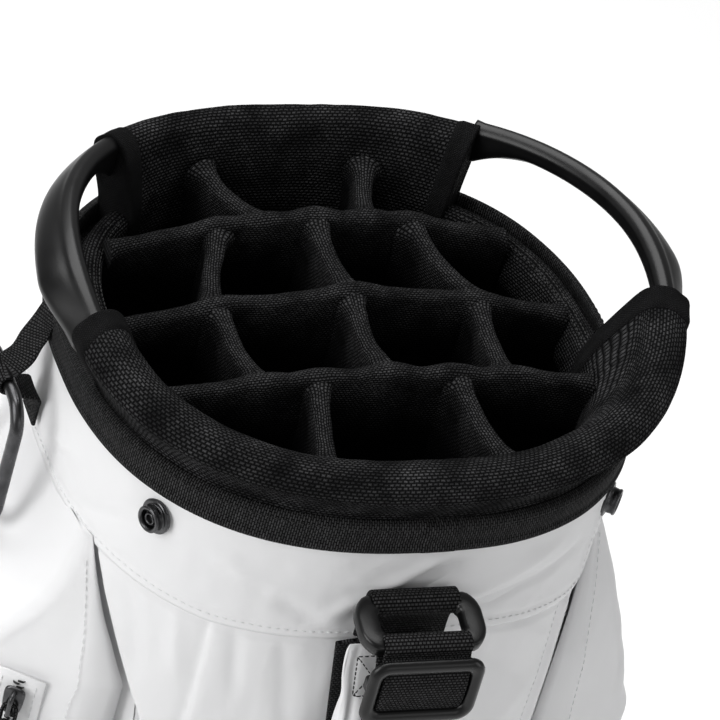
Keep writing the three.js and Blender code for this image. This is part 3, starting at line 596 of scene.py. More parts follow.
def padded_ring(name, start, stop, section, seed, soft=0.7, step=1.1):
    """A quilted stretch of the collar: its section puffs and dimples a little along its length."""
    steps = max(4, int(abs(stop - start) / step))
    share = np.arange(COLLAR_SAMPLES) / COLLAR_SAMPLES

    def shaped(angle):
        ring = curve_through(section(angle), COLLAR_SAMPLES, True)
        out = ring - ring.mean(0)
        out /= np.linalg.norm(out, axis=1)[:, None]
        puff = noise(seed, angle / 9 + 40, share * 7) * 0.6
        puff = puff + noise(seed + 1, angle / 3.1 + 40, share * 15) * 0.25
        puff = puff * smoothstep(ring[:, 1], COLLAR_FOOT + 8, COLLAR_FOOT + 22)
        return ring + out * (soft * puff)[:, None]

    return ring_loft(name, start, stop, steps, shaped, "cuff")


def make_collar():
    cuffs = {
        "front": (270, 90 - FRONT_ROOT, front_cuff_section, 11),
        "rear": (90, 90 - REAR_ROOT, rear_cuff_section, 12),
    }
    for which, (middle, reach, section, seed) in cuffs.items():
        half = reach - BINDING + 0.4
        cuff = padded_ring(f"{which}_cuff_roll", middle - half, middle + half, section, seed)
        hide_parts(f"{which}_cuff")
    for side, sx in SIDES:
        for which, (middle, reach, section, _) in cuffs.items():
            way = sx if which == "front" else -sx
            tip, root = middle + way * reach, middle + way * (reach - BINDING)
            band = cuff_binding(f"{which}_binding_{side}", root, tip, section)
            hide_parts(f"cuff_binding_{which}_{side}")
        low, high = -FRONT_ROOT + 0.2, REAR_ROOT - 0.2

        def rim(angle, low=low, high=high, sx=sx):
            plain = angle if sx > 0 else 180 - angle
            return side_rim_section(angle, (high - plain) / (high - low))

        ends = (low - 1, high + 1) if sx > 0 else (180 - high - 1, 180 - low + 1)
        band = padded_ring(f"side_rim_band_{side}", *ends, rim, 13 + (sx < 0), soft=0.35, step=1.6)
        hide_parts(f"side_rim_{side}")
        seam_rows(side, sx, low, high)
        handle(side, sx, low, high)


def cuff_binding(name, root, tip, section):
    """The tape that closes a cuff's end: it laps the mesh, folds over a lip and dives to the handle."""
    way = math.copysign(1, tip - root)
    stations = [
        (-0.15, 0.2), (0.0, 0.75), (0.12, 1.0), (0.45, 0.95), (0.75, 1.0), (0.88, 1.15), (0.96, 0.9),
        (1.0, 0.1), (1.0, -1.6), (0.97, -3.2),
    ]
    rows = []
    for share, swell in stations:
        angle = root + (tip - root) * share
        ring = curve_through(section(angle, max(swell, 0.0)), COLLAR_SAMPLES, True)
        if swell < 0:
            centre = ring.mean(0)
            out = ring - centre
            reach = np.linalg.norm(out, axis=1)[:, None]
            ring = centre + out * (1 + swell / np.maximum(reach, 6))
        ring[:, 0] += 0.25 * noise(31, np.arange(COLLAR_SAMPLES) / 4, share * 3 + 9)
        rows.append(polar(ring[:, 0], angle, ring[:, 1]))
    rows = curve_rows(np.array(rows), 24)
    return loft(name, rows[::1 if way > 0 else -1], "binding")


def curve_rows(rows, count):
    """More rows through the given ones, smoothly."""
    return curve_through(rows.reshape(len(rows), -1), count, False).reshape(count, -1, 3)


def seam_rows(side, sx, low, high):
    for row, inset in enumerate((2.0, 4.4)):
        angles = np.linspace(low + 3, high - 3, 60)
        rise = (high - angles) / (high - low)
        r = oval(angles, WELL) + 0.3 + inset
        z = DIVIDER_TOP - 20 + 7 * rise - 1.35 + 0.28 * inset + 0.25
        path = polar(r, angles, z, sx)
        stitches(f"rim_stitching_{side}_{row + 1}", path, "black_thread", pitch=2.9, length=2.1)


def handle(side, sx, low, high):
    """A carrying handle: a rounded inner bead, a groove, then a broad band that leans outwards."""
    peak = 9.0
    rows = []
    for plain in np.linspace(low - 1.6, high + 1.6, 90):
        at = min(max(plain, low), high)
        r = HANDLE_RADIUS - 4 * math.sin(math.radians(at)) + (4.6 if sx > 0 else 1.2)
        if at < peak:
            fall = 7 * ((at - peak) / (low - peak)) ** 2
        else:
            fall = 11 * ((at - peak) / (high - peak)) ** 1.6
        lean = 1 - 0.55 * float(smoothstep(-at, -2, -low))
        lean *= float(np.interp(at, (-10, high), (1.25, 0.25)))
        half = (high - low) / 2
        end = max(0.0, ((at - (low + high) / 2) / half - 0.55) / 0.45) ** 2
        z, drop = DIVIDER_TOP + (25.6 if sx > 0 else 24) - fall, 9 * end
        ring = [
            (r - 4.3, z - 5), (r - 4.0, z - 2.7), (r - 2.2, z - 0.7), (r + 0.2, z),
            (r + 2.2 + 0.8 * lean, z - 0.9), (r + 3.0 + 1.9 * lean, z - 2.5),
            (r + 3.3 + 4.6 * lean, z - 4.6), (r + 3.6 + 7.6 * lean, z - 7.6),
            (r + 3.8 + 9.6 * lean, z - 10.8), (r + 3.6 + 10.0 * lean, z - 13.2),
            (r + 3.0 + 9.6 * lean, z - 15.2 - 0.6 * drop), (r + 2.6 + 8.2 * lean, z - 15.6 - 0.7 * drop),
            (r + 2.2 + 5.4 * lean, z - 12.6 - 0.8 * drop), (r + 1.4 + 2.2 * lean, z - 9.6 - 0.8 * drop),
            (r - 0.2, z - 8.6 - 0.8 * drop), (r - 2.2, z - 9.4 - drop), (r - 3.6, z - 9.0 - drop),
            (r - 4.4, z - 7.6 - 0.6 * drop),
        ]
        ring = curve_through(ring, 72, True)
        rows.append(polar(ring[:, 0], plain, ring[:, 1], sx))
    made = loft(f"handle_grip_{side}", rows, "plastic")
    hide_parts(f"handle_{side}")


def make_piping():
    """The ribbed band over the collar's lower edge, with a small overlap where its ends are joined."""
    inner = grown(SKIRT, 0.4)

    def section(angle):
        r = oval(angle, inner)
        f = COLLAR_FOOT + 0.2 + 0.35 * float(noise(21, angle / 360 * 26, 3, 26))
        lap = 0.8 * float(smoothstep(angle, 269.2, 269.8) - smoothstep(angle, 277, 277.6))
        bow = 0.3 * float(noise(22, angle / 360 * 40, 8, 40)) + lap
        points = [
            (r, f + 1), (r + 1.6, f - 0.6), (r + 3.4, f - 0.4), (r + 4.6 + bow, f + 1.6),
            (r + 4.5 + bow, f + 3.6), (r + 3.9 + bow, f + 5.0), (r + 4.1 + bow, f + 8),
            (r + 3.9 + bow, f + 11), (r + 3.0 + bow, f + 13.6), (r + 1.4, f + 14.8),
            (r - 0.4, f + 14.2), (r - 0.6, f + 6),
        ]
        return curve_through(points, 44, True)

    made = ring_loft("collar_binding_band", 0, 360, 480, section, "piping")
    swap_uv(made)
    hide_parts("collar_piping")
    path, normal = on_oval(inner, 0, 359.9, COLLAR_FOOT + 12.4, 420, 3.75)
    stitches(
        "collar_binding_stitching", path, "black_thread", pitch=3.4, length=2.4, radius=0.3, normal=normal
    )


make_collar()
make_piping()


# ------------------------------------------------------------ dividers
ROWS = {"rear": (53.0, 14.0), "middle": (5.0, 13.0), "front": (-45.0, 8.0)}
REACH = 95.0
CROSSES = (
    ("rear", "rear", None, 24.0, 36.0, (-1, 1)),
    ("second", "middle", "rear", 0.0, 0.0, (0,)),
    ("second", "middle", "rear", 58.0, 43.0, (-1, 1)),
    ("third", "front", "middle", 0.0, 0.0, (0,)),
    ("third", "front", "middle", 54.0, 57.0, (-1, 1)),
    ("front", None, "front", 39.0, 30.0, (-1, 1)),
)


def dip_at(x, dip):
    return dip * np.minimum(1, np.abs(x) / REACH) ** 1.5


def junctions(row):
    found = []
    for _, front, rear, at_front, at_rear, sides in CROSSES:
        for side in sides:
            if front == row:
                found.append(side * at_front)
            if rear == row:
                found.append(side * at_rear)
    return found


def row_top(row, x):
    """Height of a row's padded edge: drawn up where a cross divider meets it and slack between."""
    x = np.asarray(x, float)
    _, dip = ROWS[row]
    lift = np.zeros_like(x)
    for at in junctions(row):
        lift = np.maximum(lift, hill(x, at, 13.0))
    return DIVIDER_TOP + 0.6 - dip_at(x, dip) + 2.6 * lift


def beside(path):
    """Unit vectors to the left of a line in plan."""
    step = np.gradient(path, axis=0)
    step /= np.linalg.norm(step, axis=1)[:, None]
    return np.stack([-step[:, 1], step[:, 0]], 1)


def divider_skin(path, top, half, waist, seed):
    """A padded slab along path, in plan. top is its height, half and waist its half thicknesses."""
    across_slab, run = beside(path), run_along(path)
    turn = np.radians(np.linspace(0, 180, 13))
    down = [(1.0, 3), (0.96, 7), (0.9, 12), (0.86, 20), (0.86, 32), (0.9, 46), (0.9, 60), (0.9, 74)]
    rows = []
    for i in range(len(path)):
        h, w, z = half[i], waist[i], top[i]
        crown = [(h * math.cos(t), z - h * 0.92 + h * 0.92 * math.sin(t)) for t in turn]
        left = [(-w * s - (h - w) * math.exp(-d / 14), z - h * 0.92 - d) for s, d in down]
        right = [(-x, v) for x, v in reversed(left)]
        ring = np.array(right + crown + left)
        ring[:, 1] = np.maximum(ring[:, 1], PAD_FOOT)
        ripple = 0.45 * noise(seed, run[i] / 12 + 3, ring[:, 1] / 11)
        ripple = ripple + 0.2 * noise(seed + 5, run[i] / 4 + 9, ring[:, 1] / 5)
        ring[:, 0] += ripple * (np.abs(ring[:, 0]) > 0.5 * h)
        shift = 0.7 * noise(seed + 2, run[i] / 26 + 5, 2.5)
        plan = path[i] + across_slab[i] * (ring[:, :1] + shift)
        height = ring[:, 1:] + 0.35 * noise(seed + 3, run[i] / 9 + 1, 4.5)
        rows.append(np.hstack([plan, height]))
    return rows


def panel_skin(path):
    """The thin cloth wall that carries on down to the boot."""
    side = beside(path) * 1.4
    levels = np.linspace(TUBE_FOOT, PAD_FOOT + 2, 24)
    rows = []
    for i in range(len(path)):
        sway = 1.1 * noise(7, i / 3 + 5, levels / 70)
        ring = [(*(path[i] + side[i] * (1 + s / 1.4)), z) for z, s in zip(levels, sway)]
        ring += [(*(path[i] - side[i] * (1 - s / 1.4)), z) for z, s in zip(levels[::-1], sway[::-1])]
        rows.append(ring)
    return rows


def join_lofts(name, lofts):
    """Several skins as one piece of divider cloth."""
    made = [loft(f"{name}_{i}", rows, "divider") for i, rows in enumerate(lofts)]
    with bpy.context.temp_override(
        active_object=made[0], selected_objects=made, selected_editable_objects=made, object=made[0]
    ):
        bpy.ops.object.join()
    made[0].name = made[0].data.name = name
    return made[0]


def make_dividers():
    bore = grown(TUBE, -4.5)
    for seed, (row, (y, _)) in enumerate(ROWS.items()):
        reach = float(across(y, WELL[1] - 0.5, WELL[0] - 0.5)) + 1.5
        x = np.linspace(-reach, reach, 150)
        path = np.stack([x, np.full_like(x, y)], 1)
        flare = np.zeros_like(x)
        for at in junctions(row):
            flare = np.maximum(flare, hill(x, at, 6.5))
        wall = np.exp(-(reach - np.abs(x)) / 5)
        half = 3.7 + 0.9 * flare + 2.6 * wall
        waist = 3.0 + 0.8 * flare + 2.0 * wall
        low_reach = float(across(y, TUBE[1] - 4.5, TUBE[0] - 4.5))
        low_x = np.linspace(-low_reach, low_reach, 24)
        lofts = [
            divider_skin(path, row_top(row, x), half, waist, 50 + 10 * seed),
            panel_skin(np.stack([low_x, np.full_like(low_x, y)], 1)),
        ]
        made = join_lofts(f"padded_row_{row}", lofts)
        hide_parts(f"divider_row_{row}")
    for number, (bay, front, rear, at_front, at_rear, sides) in enumerate(CROSSES):
        for side in sides:
            sx = side or 1
            label = {0: "middle", 1: "right", -1: "left"}[side]
            wall_front = -float(across(at_front, WELL[0], WELL[1])) - 1.0
            wall_rear = float(across(at_rear, WELL[0], WELL[1])) + 1.0
            y0 = ROWS[front][0] + 1.5 if front else wall_front
            y1 = ROWS[rear][0] - 1.5 if rear else wall_rear
            y = np.linspace(y0, y1, 60)
            share = (y - y0) / (y1 - y0)
            x = sx * (at_front + (at_rear - at_front) * share)
            from_front, from_rear = y - y0, y1 - y
            z0 = float(row_top(front, sx * at_front)) if front else DIVIDER_TOP - 3
            z1 = float(row_top(rear, sx * at_rear)) if rear else DIVIDER_TOP - 3
            sag = 4.2 * np.sin(np.pi * share) ** 0.8
            top = z0 + (z1 - z0) * share - sag - 0.8
            flare = 4.6 * np.exp(-from_front / 4.2) + 4.6 * np.exp(-from_rear / 4.2)
            half = 3.6 + flare
            waist = 2.8 + 0.75 * flare
            path = np.stack([x, y], 1)
            low_y0 = ROWS[front][0] + 1.6 if front else -float(across(at_front, *bore))
            low_y1 = ROWS[rear][0] - 1.6 if rear else float(across(at_rear, *bore))
            low_y = np.linspace(low_y0, low_y1, 14)
            low_x = sx * (at_front + (at_rear - at_front) * (low_y - y0) / (y1 - y0))
            lofts = [
                divider_skin(path, top, half, waist, 90 + 7 * number + side),
                panel_skin(np.stack([low_x, low_y], 1)),
            ]
            made = join_lofts(f"padded_divider_{bay}_{label}", lofts)
            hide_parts(f"divider_{bay}_{label}")


make_dividers()


# ------------------------------------------------------------ tube and yoke
def shell(name, size, low, high, thick, relief, rows, steps):
    """A white cloth tube with both its faces. relief(angle, height) is how far its outside stands proud."""
    grid = []
    for angle in np.arange(steps) * 360 / steps:
        r = float(oval(angle, size))
        levels = np.linspace(float(low(angle)), high, rows)
        outer = np.stack([r + relief(angle, levels), levels], 1)
        lip = np.array([(r - thick * 0.5, high + 0.2)])
        inner = np.stack([np.full(8, r - thick), np.linspace(high, levels[0], 8)], 1)
        ring = np.vstack([outer, lip, inner])
        grid.append(polar(ring[:, 0], angle, ring[:, 1]))
    return loft(name, grid, "white", closed=True)


def crease(angle, z, start, stop, width, depth):
    """A soft fold along a line from start to stop, each (angle, height)."""
    a = np.stack(np.broadcast_arrays(np.asarray(angle, float) * 2.0, np.asarray(z, float)), -1)
    p, q = np.array([start[0] * 2.0, start[1]]), np.array([stop[0] * 2.0, stop[1]])
    line = q - p
    length = np.linalg.norm(line)
    line /= length
    along = (a - p) @ line
    off = (a - p) @ np.array([-line[1], line[0]])
    fade = smoothstep(along, -4, 10) * (1 - smoothstep(along, length - 14, length + 4))
    return depth * fade * np.exp(-((off / width) ** 2))


def yoke_foot(angle):
    """The yoke's lower edge dips to either side of the strap, as it is cut."""
    around = (0, 120, 180, 205, 232, 260, 290, 318, 332, 360)
    return np.interp(angle, around, (776, 778, 778, 776, 772.5, 775, 775, 766.5, 767, 776))


def yoke_relief(angle, z):
    relief = 0.5 * noise(61, angle / 9, z / 16, 40) + 0.18 * noise(62, angle / 3, z / 6, 120)
    pulled = noise(63, (angle * 2 - 0.9 * z) / 9 + 90, (z + angle) / 45) * hill(angle, 275, 26)
    relief = relief + 0.55 * pulled
    for start, stop, width, depth in YOKE_CREASES:
        relief = relief + 1.35 * crease(angle, z, start, stop, width, depth)
    lapped = smoothstep(angle, SEAM - 1.9, SEAM - 1.5) * (1 - smoothstep(angle, SEAM + 1.5, SEAM + 1.9))
    relief = relief + 0.8 * lapped
    above = z - yoke_foot(angle)
    return relief * smoothstep(above, 0, 6) - 0.5 * hill(above, 5.2, 1.3)


SEAM = 320.5
YOKE_CREASES = (
    ((258, 784), (284, 818), 4.4, -1.9),
    ((254, 788), (278, 822), 3.6, 1.3),
    ((262, 780), (306, 812), 4.2, 1.2),
    ((276, 784), (314, 801), 3.6, -1.2),
    ((254, 782), (236, 800), 4.2, -1.1),
    ((246, 790), (228, 812), 4.6, 0.8),
    ((328, 782), (350, 806), 3.4, -0.9),
    ((212, 800), (196, 782), 3.6, -0.6),
    ((196, 806), (178, 790), 3.4, 0.6),
)


def make_tube():
    def relief(angle, z):
        fold = np.interp(z, (560, 640, 709, 738, 760, 776), (226, 227, 225, 216.5, 209.5, 204.5))
        width = np.interp(z, (560, 709, 776), (7, 5, 1.2))
        inside = smoothstep(fold - angle, -0.6, 0.9) * smoothstep(angle, 180, 196)
        gap = -6.5 * inside * smoothstep(776 - z, 0, 30) * smoothstep(z, 575, 640)
        lip = 0.9 * hill(angle, fold + 1.6, 1.3) * smoothstep(z, 575, 640) * smoothstep(781 - z, 0, 14)
        slope = 0.5 * hill(angle, fold + width + 3, width)
        plain = 0.5 * noise(64, angle / 15, z / 46, 24) + 0.2 * noise(65, angle / 5, z / 15, 72)
        return plain + gap + lip + slope

    size = grown(TUBE, -0.4)
    made = shell("tube_cloth", size, lambda angle: TUBE_FOOT, COLLAR_FOOT - 0.5, 2.6, relief, 210, 420)
    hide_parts("body_shell")
    made = shell("yoke_cloth", grown(TUBE, 1.6), yoke_foot, COLLAR_FOOT + 3, 1.3, yoke_relief, 40, 720)
    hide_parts("yoke_band")
    angles = np.linspace(0, 359.8, 700)
    z = yoke_foot(angles) + 3.4
    lift = 1.7 + np.array([float(yoke_relief(a, h)) for a, h in zip(angles, z)])
    path, normal = on_oval(TUBE, 0, 359.8, z, 700, lift)
    stitches("yoke_topstitching", path, normal=normal, radius=0.34)
    for row, angle in enumerate((SEAM - 1.0, SEAM + 1.0)):
        z = np.linspace(float(yoke_foot(angle)) + 2, COLLAR_FOOT, 40)
        r = float(oval(angle, TUBE)) + 1.75 + yoke_relief(angle, z)
        path = polar(r, angle, z)
        stitches(f"yoke_seam_stitching_{row + 1}", path, normal=outward(angle), radius=0.3)


make_tube()


# ------------------------------------------------------------ boot, sole and frame
def make_base():
    outside = grown(TUBE, 3.8)

    def section(angle):
        r = float(oval(angle, outside))
        rib = 0.9 * max(0.0, math.cos(math.radians(angle * 36))) ** 2
        low, high = 5.3, BOOT_TOP
        hollow = r - 3.4
        points = [
            (r - 22, low), (r - 7, low), (r - 2.4, low + 1.2), (r - 0.7, low + 4.2), (r - 0.2, low + 9),
            (r - 0.9, low + 12), *((r - 0.9 + rib, low + up) for up in (16, 26, 36, 46)),
            (r - 0.9, high - 19), (r - 0.2, high - 15), (r, high - 8), (r, high - 3),
            (r - 0.8, high - 0.6), (r - 2.0, high), (hollow + 0.1, high - 0.6), (hollow, high - 3),
            (hollow, high - 30), (hollow, low + 9), (hollow - 3, low + 5.6), (hollow - 18, low + 5.4),
        ]
        return curve_through(points, 88, True)

    made = ring_loft("boot_cup", 0, 360, 360, section, "boot")
    floor = floor_disc(outside)
    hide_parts("base_boot")
    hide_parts("base_boot")


def floor_disc(outside):
    """The boot's floor, a dished plate with a raised rim that fills the middle of the cup."""
    around = np.arange(0, 360, 4)
    plates = ((-15, 10.7, 5.4), (-18, 10.7, 5.4), (-30, 10.3, 5.8), (-60, 10.0, 6.0), (-100, 9.8, 6.1))
    top = [polar(oval(around, grown(outside, by)), around, z) for by, z, _ in plates]
    foot = [polar(oval(around, grown(outside, by)), around, z) for by, _, z in plates]
    return loft("boot_floor", top[::-1] + foot, "boot")


make_base()


# ------------------------------------------------------------ front panel
PANEL_SIZE = grown(TUBE, 0.3)
PANEL_SEAM = 232.6
PANEL_EDGE = 317.5


def panel_left(z):
    return np.interp(z, (709, 776), (225.0, 205.5))


def panel_relief(angle, z):
    relief = 1.7 + 0.55 * noise(71, angle / 8, z / 60) + 0.3 * noise(72, angle / 3.4, z / 26)
    relief = relief + 0.07 * noise(73, angle / 1.1, z / 5)
    beyond = angle - PANEL_SEAM - 0.9 * np.sin(z / 90)
    relief = relief + 1.6 * smoothstep(beyond, -0.25, 0.35) * np.exp(-np.maximum(beyond, 0) / 6.5)
    relief = relief - 0.9 * np.exp(-((beyond + 0.5) / 1.6) ** 2)
    for start, stop, width, depth in PANEL_CREASES:
        relief = relief + crease(angle, z, start, stop, width, depth)
    inset = PANEL_EDGE - angle
    relief = relief + 1.2 * smoothstep(inset, 0, 0.5) * (1 - smoothstep(inset, 2.4, 3.4))
    relief = relief - 1.0 * hill(inset, 4.2, 1.0)
    below = yoke_foot(angle) - z
    foot = smoothstep(z, POCKET_FOOT, POCKET_FOOT + 8) * (0.22 + 0.78 * smoothstep(below, -0.5, 3.5))
    return np.maximum(relief * foot, 0.25)


PANEL_CREASES = (
    ((216, 772), (222, 728), 4.2, -1.1),
    ((226, 774), (229.5, 736), 3.8, 1.3),
    ((238, 774), (241, 735), 3.2, -1.0),
    ((247, 774), (253, 720), 4.0, -0.8),
    ((288, 770), (310, 728), 6.0, -1.3),
    ((298, 772), (314, 745), 4.0, 0.8),
    ((284, 690), (312, 728), 6.0, 0.8),
    ((300, 640), (316, 668), 6.0, -0.7),
    ((240, 560), (262, 600), 8.0, 0.8),
)


def make_front_panel():
    rows = []
    for share in np.linspace(0, 1, 190):
        top = float(yoke_foot(205.5 + (PANEL_EDGE - 205.5) * share)) + 2
        z = np.concatenate([np.linspace(POCKET_FOOT, 560, 90), np.linspace(563, top, 84)])
        angle = panel_left(z) + (PANEL_EDGE - panel_left(z)) * share
        r = oval(angle, PANEL_SIZE)
        edge = 0.3 + 0.7 * min(1.0, share / 0.006, (1 - share) / 0.006)
        out = r + panel_relief(angle, z) * edge
        rows.append(np.vstack([polar(out, angle, z), polar(r, angle, z)[::-12]]))
    made = loft("front_panel", rows, "white")
    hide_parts("spine_panel")
    for row, inset in enumerate((1.3, 3.9)):
        levels = np.linspace(POCKET_FOOT + 10, float(yoke_foot(PANEL_EDGE)) - 1, 260)
        angle = PANEL_EDGE - inset
        path = polar(oval(angle, PANEL_SIZE) + panel_relief(angle, levels) + 0.12, angle, levels)
        stitches(f"panel_edge_stitching_{row + 1}", path, normal=outward(angle), radius=0.28)


make_front_panel()


# ------------------------------------------------------------ pockets
HULL = grown(TUBE, 1.4)
GUSSET = 113.5
SLANT = 35.0
FLAT = 31.0
SIDE_REAR = 62.0
SIDE_TOP = DIVIDER_TOP - 86
SIDE_STATIONS = (
    (POCKET_FOOT, 42, POCKET_FRONT), (POCKET_FOOT + 14, 50, POCKET_FRONT),
    (SIDE_TOP - 122, 50, POCKET_FRONT), (SIDE_TOP - 50, 34, POCKET_FRONT),
    (SIDE_TOP - 34, 18, -71), (SIDE_TOP - 24, 9, -65), (SIDE_TOP - 6, 2.4, -56), (SIDE_TOP + 7, -0.9, -50),
)
SLACK = (
    (82, 42), (96, 50), (600, 50), (650, 46), (667, 41), (690, 34), (703, 29.5), (722, 22), (738, 15.5),
    (753, 10.2), (768, 4.6), (779, -0.9),
)
REAR_POCKETS = {"ball": (78.0, POCKET_FOOT + 6, 345.0, 62.0), "valuables": (66.0, 430.0, 690.0, 36.0)}


def side_outline(front, depth):
    """Plan of a side pocket as [out, along]: the tube's curve, gusset, slanted face, side, corner."""
    side = float(across(0, HULL[1], HULL[0])) + depth
    edge, grade = side - 3, math.tan(math.radians(SLANT))
    gusset_end = min(GUSSET, float(across(front, HULL[1], HULL[0])) + 0.5 * max(depth, 0) + 1)
    flat_end = gusset_end + min(FLAT, max(0.5, edge - gusset_end - 4))
    flat_y = front + (flat_end - gusset_end) * grade
    bend = front + (edge - gusset_end) * grade
    turn_end = bend + 0.4 * (edge - flat_end) + 4
    corner = min(16.0, 0.45 * depth)
    inner = [(float(across(v, HULL[1], HULL[0])), v) for v in np.linspace(SIDE_REAR, front, 24)]
    on_tube = inner[-1][0]
    gusset = [
        (on_tube + (gusset_end - on_tube) * t, front - 1.2 * math.sin(math.pi * t)) for t in (0.33, 0.66)
    ]
    flat = [
        (gusset_end + (flat_end - gusset_end) * t, front + (flat_y - front) * t)
        for t in np.linspace(0, 1, 12)
    ]
    curve = [
        ((1 - t) ** 2 * flat_end + (1 - (1 - t) ** 2) * edge,
         (1 - t) ** 2 * flat_y + 2 * t * (1 - t) * bend + t * t * turn_end)
        for t in np.linspace(0.12, 1, 9)
    ]
    long_side = [
        (edge + 3 * math.sin(math.pi * t), turn_end + (SIDE_REAR - corner - turn_end) * t)
        for t in np.linspace(0.06, 1, 26)
    ]
    rear = [
        (edge - corner + corner * math.cos(t), SIDE_REAR - corner + corner * math.sin(t))
        for t in np.radians(np.linspace(10, 90, 8))
    ]
    return np.array(inner + gusset + flat + curve + long_side + rear)


def rear_outline(half, depth):
    face = float(across(0, HULL[0], HULL[1])) + depth
    corner = min(16.0, 0.45 * depth)
    inner = [(float(across(v, HULL[0], HULL[1])), v) for v in np.linspace(half, -half, 30)]
    points = []
    for way in (-1, 1):
        turn = np.linspace(0, 90, 9)
        arc = [
            (face - 3 - corner + corner * math.sin(math.radians(t)),
             way * (half - corner * (1 - math.cos(math.radians(t)))))
            for t in turn
        ]
        points.append(arc if way < 0 else arc[::-1])
    middle = [(face - 3 + 3 * math.sin(math.pi * t), -half + corner + 2 * (half - corner) * t)
              for t in np.linspace(0.04, 0.96, 34)]
    return np.array(inner + points[0] + middle + points[1])


def pocket_skin(levels, outline_at, inner_count, place, seed, crumple):
    """Outlines stacked up a pocket's height, then crumpled outwards where nothing holds the cloth flat."""
    rows = []
    low, high = levels[0], levels[-1]
    for z in levels:
        ring = outline_at(z)
        step = np.roll(ring, -1, 0) - np.roll(ring, 1, 0)
        out = np.stack([step[:, 1], -step[:, 0]], 1)
        out /= np.maximum(np.linalg.norm(out, axis=1), 1e-6)[:, None]
        index = np.arange(len(ring))
        run = run_along(ring)
        free = 1 - smoothstep(index, len(ring) - 6, len(ring) - 1)
        free = free * smoothstep(index, inner_count + 1, inner_count + 5)
        rise = smoothstep(z, low, low + 14) * (1 - smoothstep(z, high - 46, high - 2))
        push = crumple(z, run, index) + 0.9 * noise(seed, run / 34 + 3, z / 55)
        push = push + 0.45 * noise(seed + 1, run / 13, z / 22)
        ring = ring + out * (push * free * rise)[:, None]
        rows.append([(*place(o, a), z) for o, a in ring])
    return rows


def make_side_pockets():
    z_at, depth_at, front_at = (np.array(v, float) for v in zip(*SIDE_STATIONS))
    levels = np.concatenate([np.linspace(POCKET_FOOT, 560, 70), np.linspace(564, SIDE_TOP + 7, 90)])
    slack_z, slack_depth = (np.array(v, float) for v in zip(*SLACK))

    def outline(z, side="left"):
        stations = (slack_z, slack_depth) if side == "right" else (z_at, depth_at)
        depth = np.interp(z, *stations)
        near = np.interp([z - 8, z + 8], *stations).mean()
        back = float(np.interp(z, (662, 690, 722, 748), (0, 5, 8, 4))) if side == "right" else 0.0
        return side_outline(float(np.interp(z, z_at, front_at)) + back, 0.5 * (depth + near))

    # Index ranges along the outline: 24 points on the tube, 2 on the gusset, then the slanted face.
    def crumple(z, run, index):
        flat = smoothstep(index, 26, 29) * (1 - smoothstep(index, 36, 40))
        cloth = smoothstep(index, 38, 48)
        push = 1.0 * cloth * np.sin(z / 31 + run / 22) * smoothstep(z, 560, 640)
        push = push + 1.3 * cloth * hill(z, 655 + 0.22 * (run - 200), 7)
        push = push - 1.5 * cloth * hill(z, 668 + 0.22 * (run - 200), 5)
        push = push - 1.2 * cloth * hill(z, 612 - 0.15 * (run - 200), 6)
        groove = -1.3 * smoothstep(index, 26, 28) * (hill(z, 590, 1.8) + hill(z, 345, 1.8))
        groove = groove - 1.1 * hill(index, 26, 0.8)
        return push - 0.4 * flat + groove + 1.0 * cloth

    for side, sx in SIDES:
        rows = pocket_skin(
            levels, lambda z, side=side: outline(z, side), 24, lambda o, a, sx=sx: (sx * o, a),
            81 + (sx < 0), crumple,
        )
        made = loft(f"side_pocket_{side}", rows, "white")
        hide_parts(f"apparel_pocket_{side}")
        edge = []
        for z in levels[levels > 100][::-1][4:]:
            corner = outline(z, side)[26]
            edge.append((sx * (corner[0] + 2.0), corner[1] + 0.5, z))
        stitches(f"side_pocket_stitching_{side}", edge, normal=(sx * 0.57, -0.82, 0), radius=0.26)


def make_rear_pockets():
    for seed, (name, (half, foot, top, depth)) in enumerate(REAR_POCKETS.items()):
        rise = top - foot
        z_at = np.array([foot, foot + 12, foot + 0.72 * rise, foot + 0.88 * rise, top])
        depth_at = np.array([depth - 10, depth, depth, depth * 0.78, depth * 0.3])
        levels = np.linspace(foot, top, 70)

        def outline(z, z_at=z_at, depth_at=depth_at, half=half):
            near = np.interp([z - 8, z, z + 8], z_at, depth_at).mean()
            return rear_outline(half, near)

        def crumple(z, run, index, foot=foot, rise=rise):
            face = smoothstep(index, 38, 46) * (1 - smoothstep(index, 70, 78))
            return 1.6 * face * math.sin(math.pi * min(1, max(0, (z - foot) / rise))) - 0.8 * face

        rows = pocket_skin(levels, outline, 30, lambda o, a: (a, o), 91 + seed, crumple)
        made = loft(f"rear_pocket_{name}", rows, "white")
        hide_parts(f"{name}_pocket")


make_side_pockets()
make_rear_pockets()


# ------------------------------------------------------------ zips
ZIP_LIFT = 0.4
ZIP_OUT = 19.5
ZIP_FRONT = POCKET_FRONT + ZIP_OUT * math.tan(math.radians(SLANT))
ZIPS = {
    "apparel_left": (-GUSSET - ZIP_OUT, ZIP_FRONT, -SLANT, 130.0, 718.0),
    "apparel_right": (GUSSET + ZIP_OUT, ZIP_FRONT, SLANT, 130.0, 650.0),
    "ball": (45.0, HULL[1] + 62, 180.0, 105.0, 248.0),
    "valuables": (38.0, HULL[1] + 36, 180.0, 455.0, 590.0),
}
PIN_OUT = 7.2


def zip_place(name):
    """Turns points of a zip's own frame, where -Y is outward, into the bag's."""
    x, y, turn, _, _ = ZIPS[name]
    t = math.radians(turn)
    base = np.array([x + ZIP_LIFT * math.sin(t), y - ZIP_LIFT * math.cos(t), 0])
    spin = np.array([[math.cos(t), -math.sin(t), 0], [math.sin(t), math.cos(t), 0], [0, 0, 1]])
    return lambda points: np.asarray(points, float) @ spin.T + base


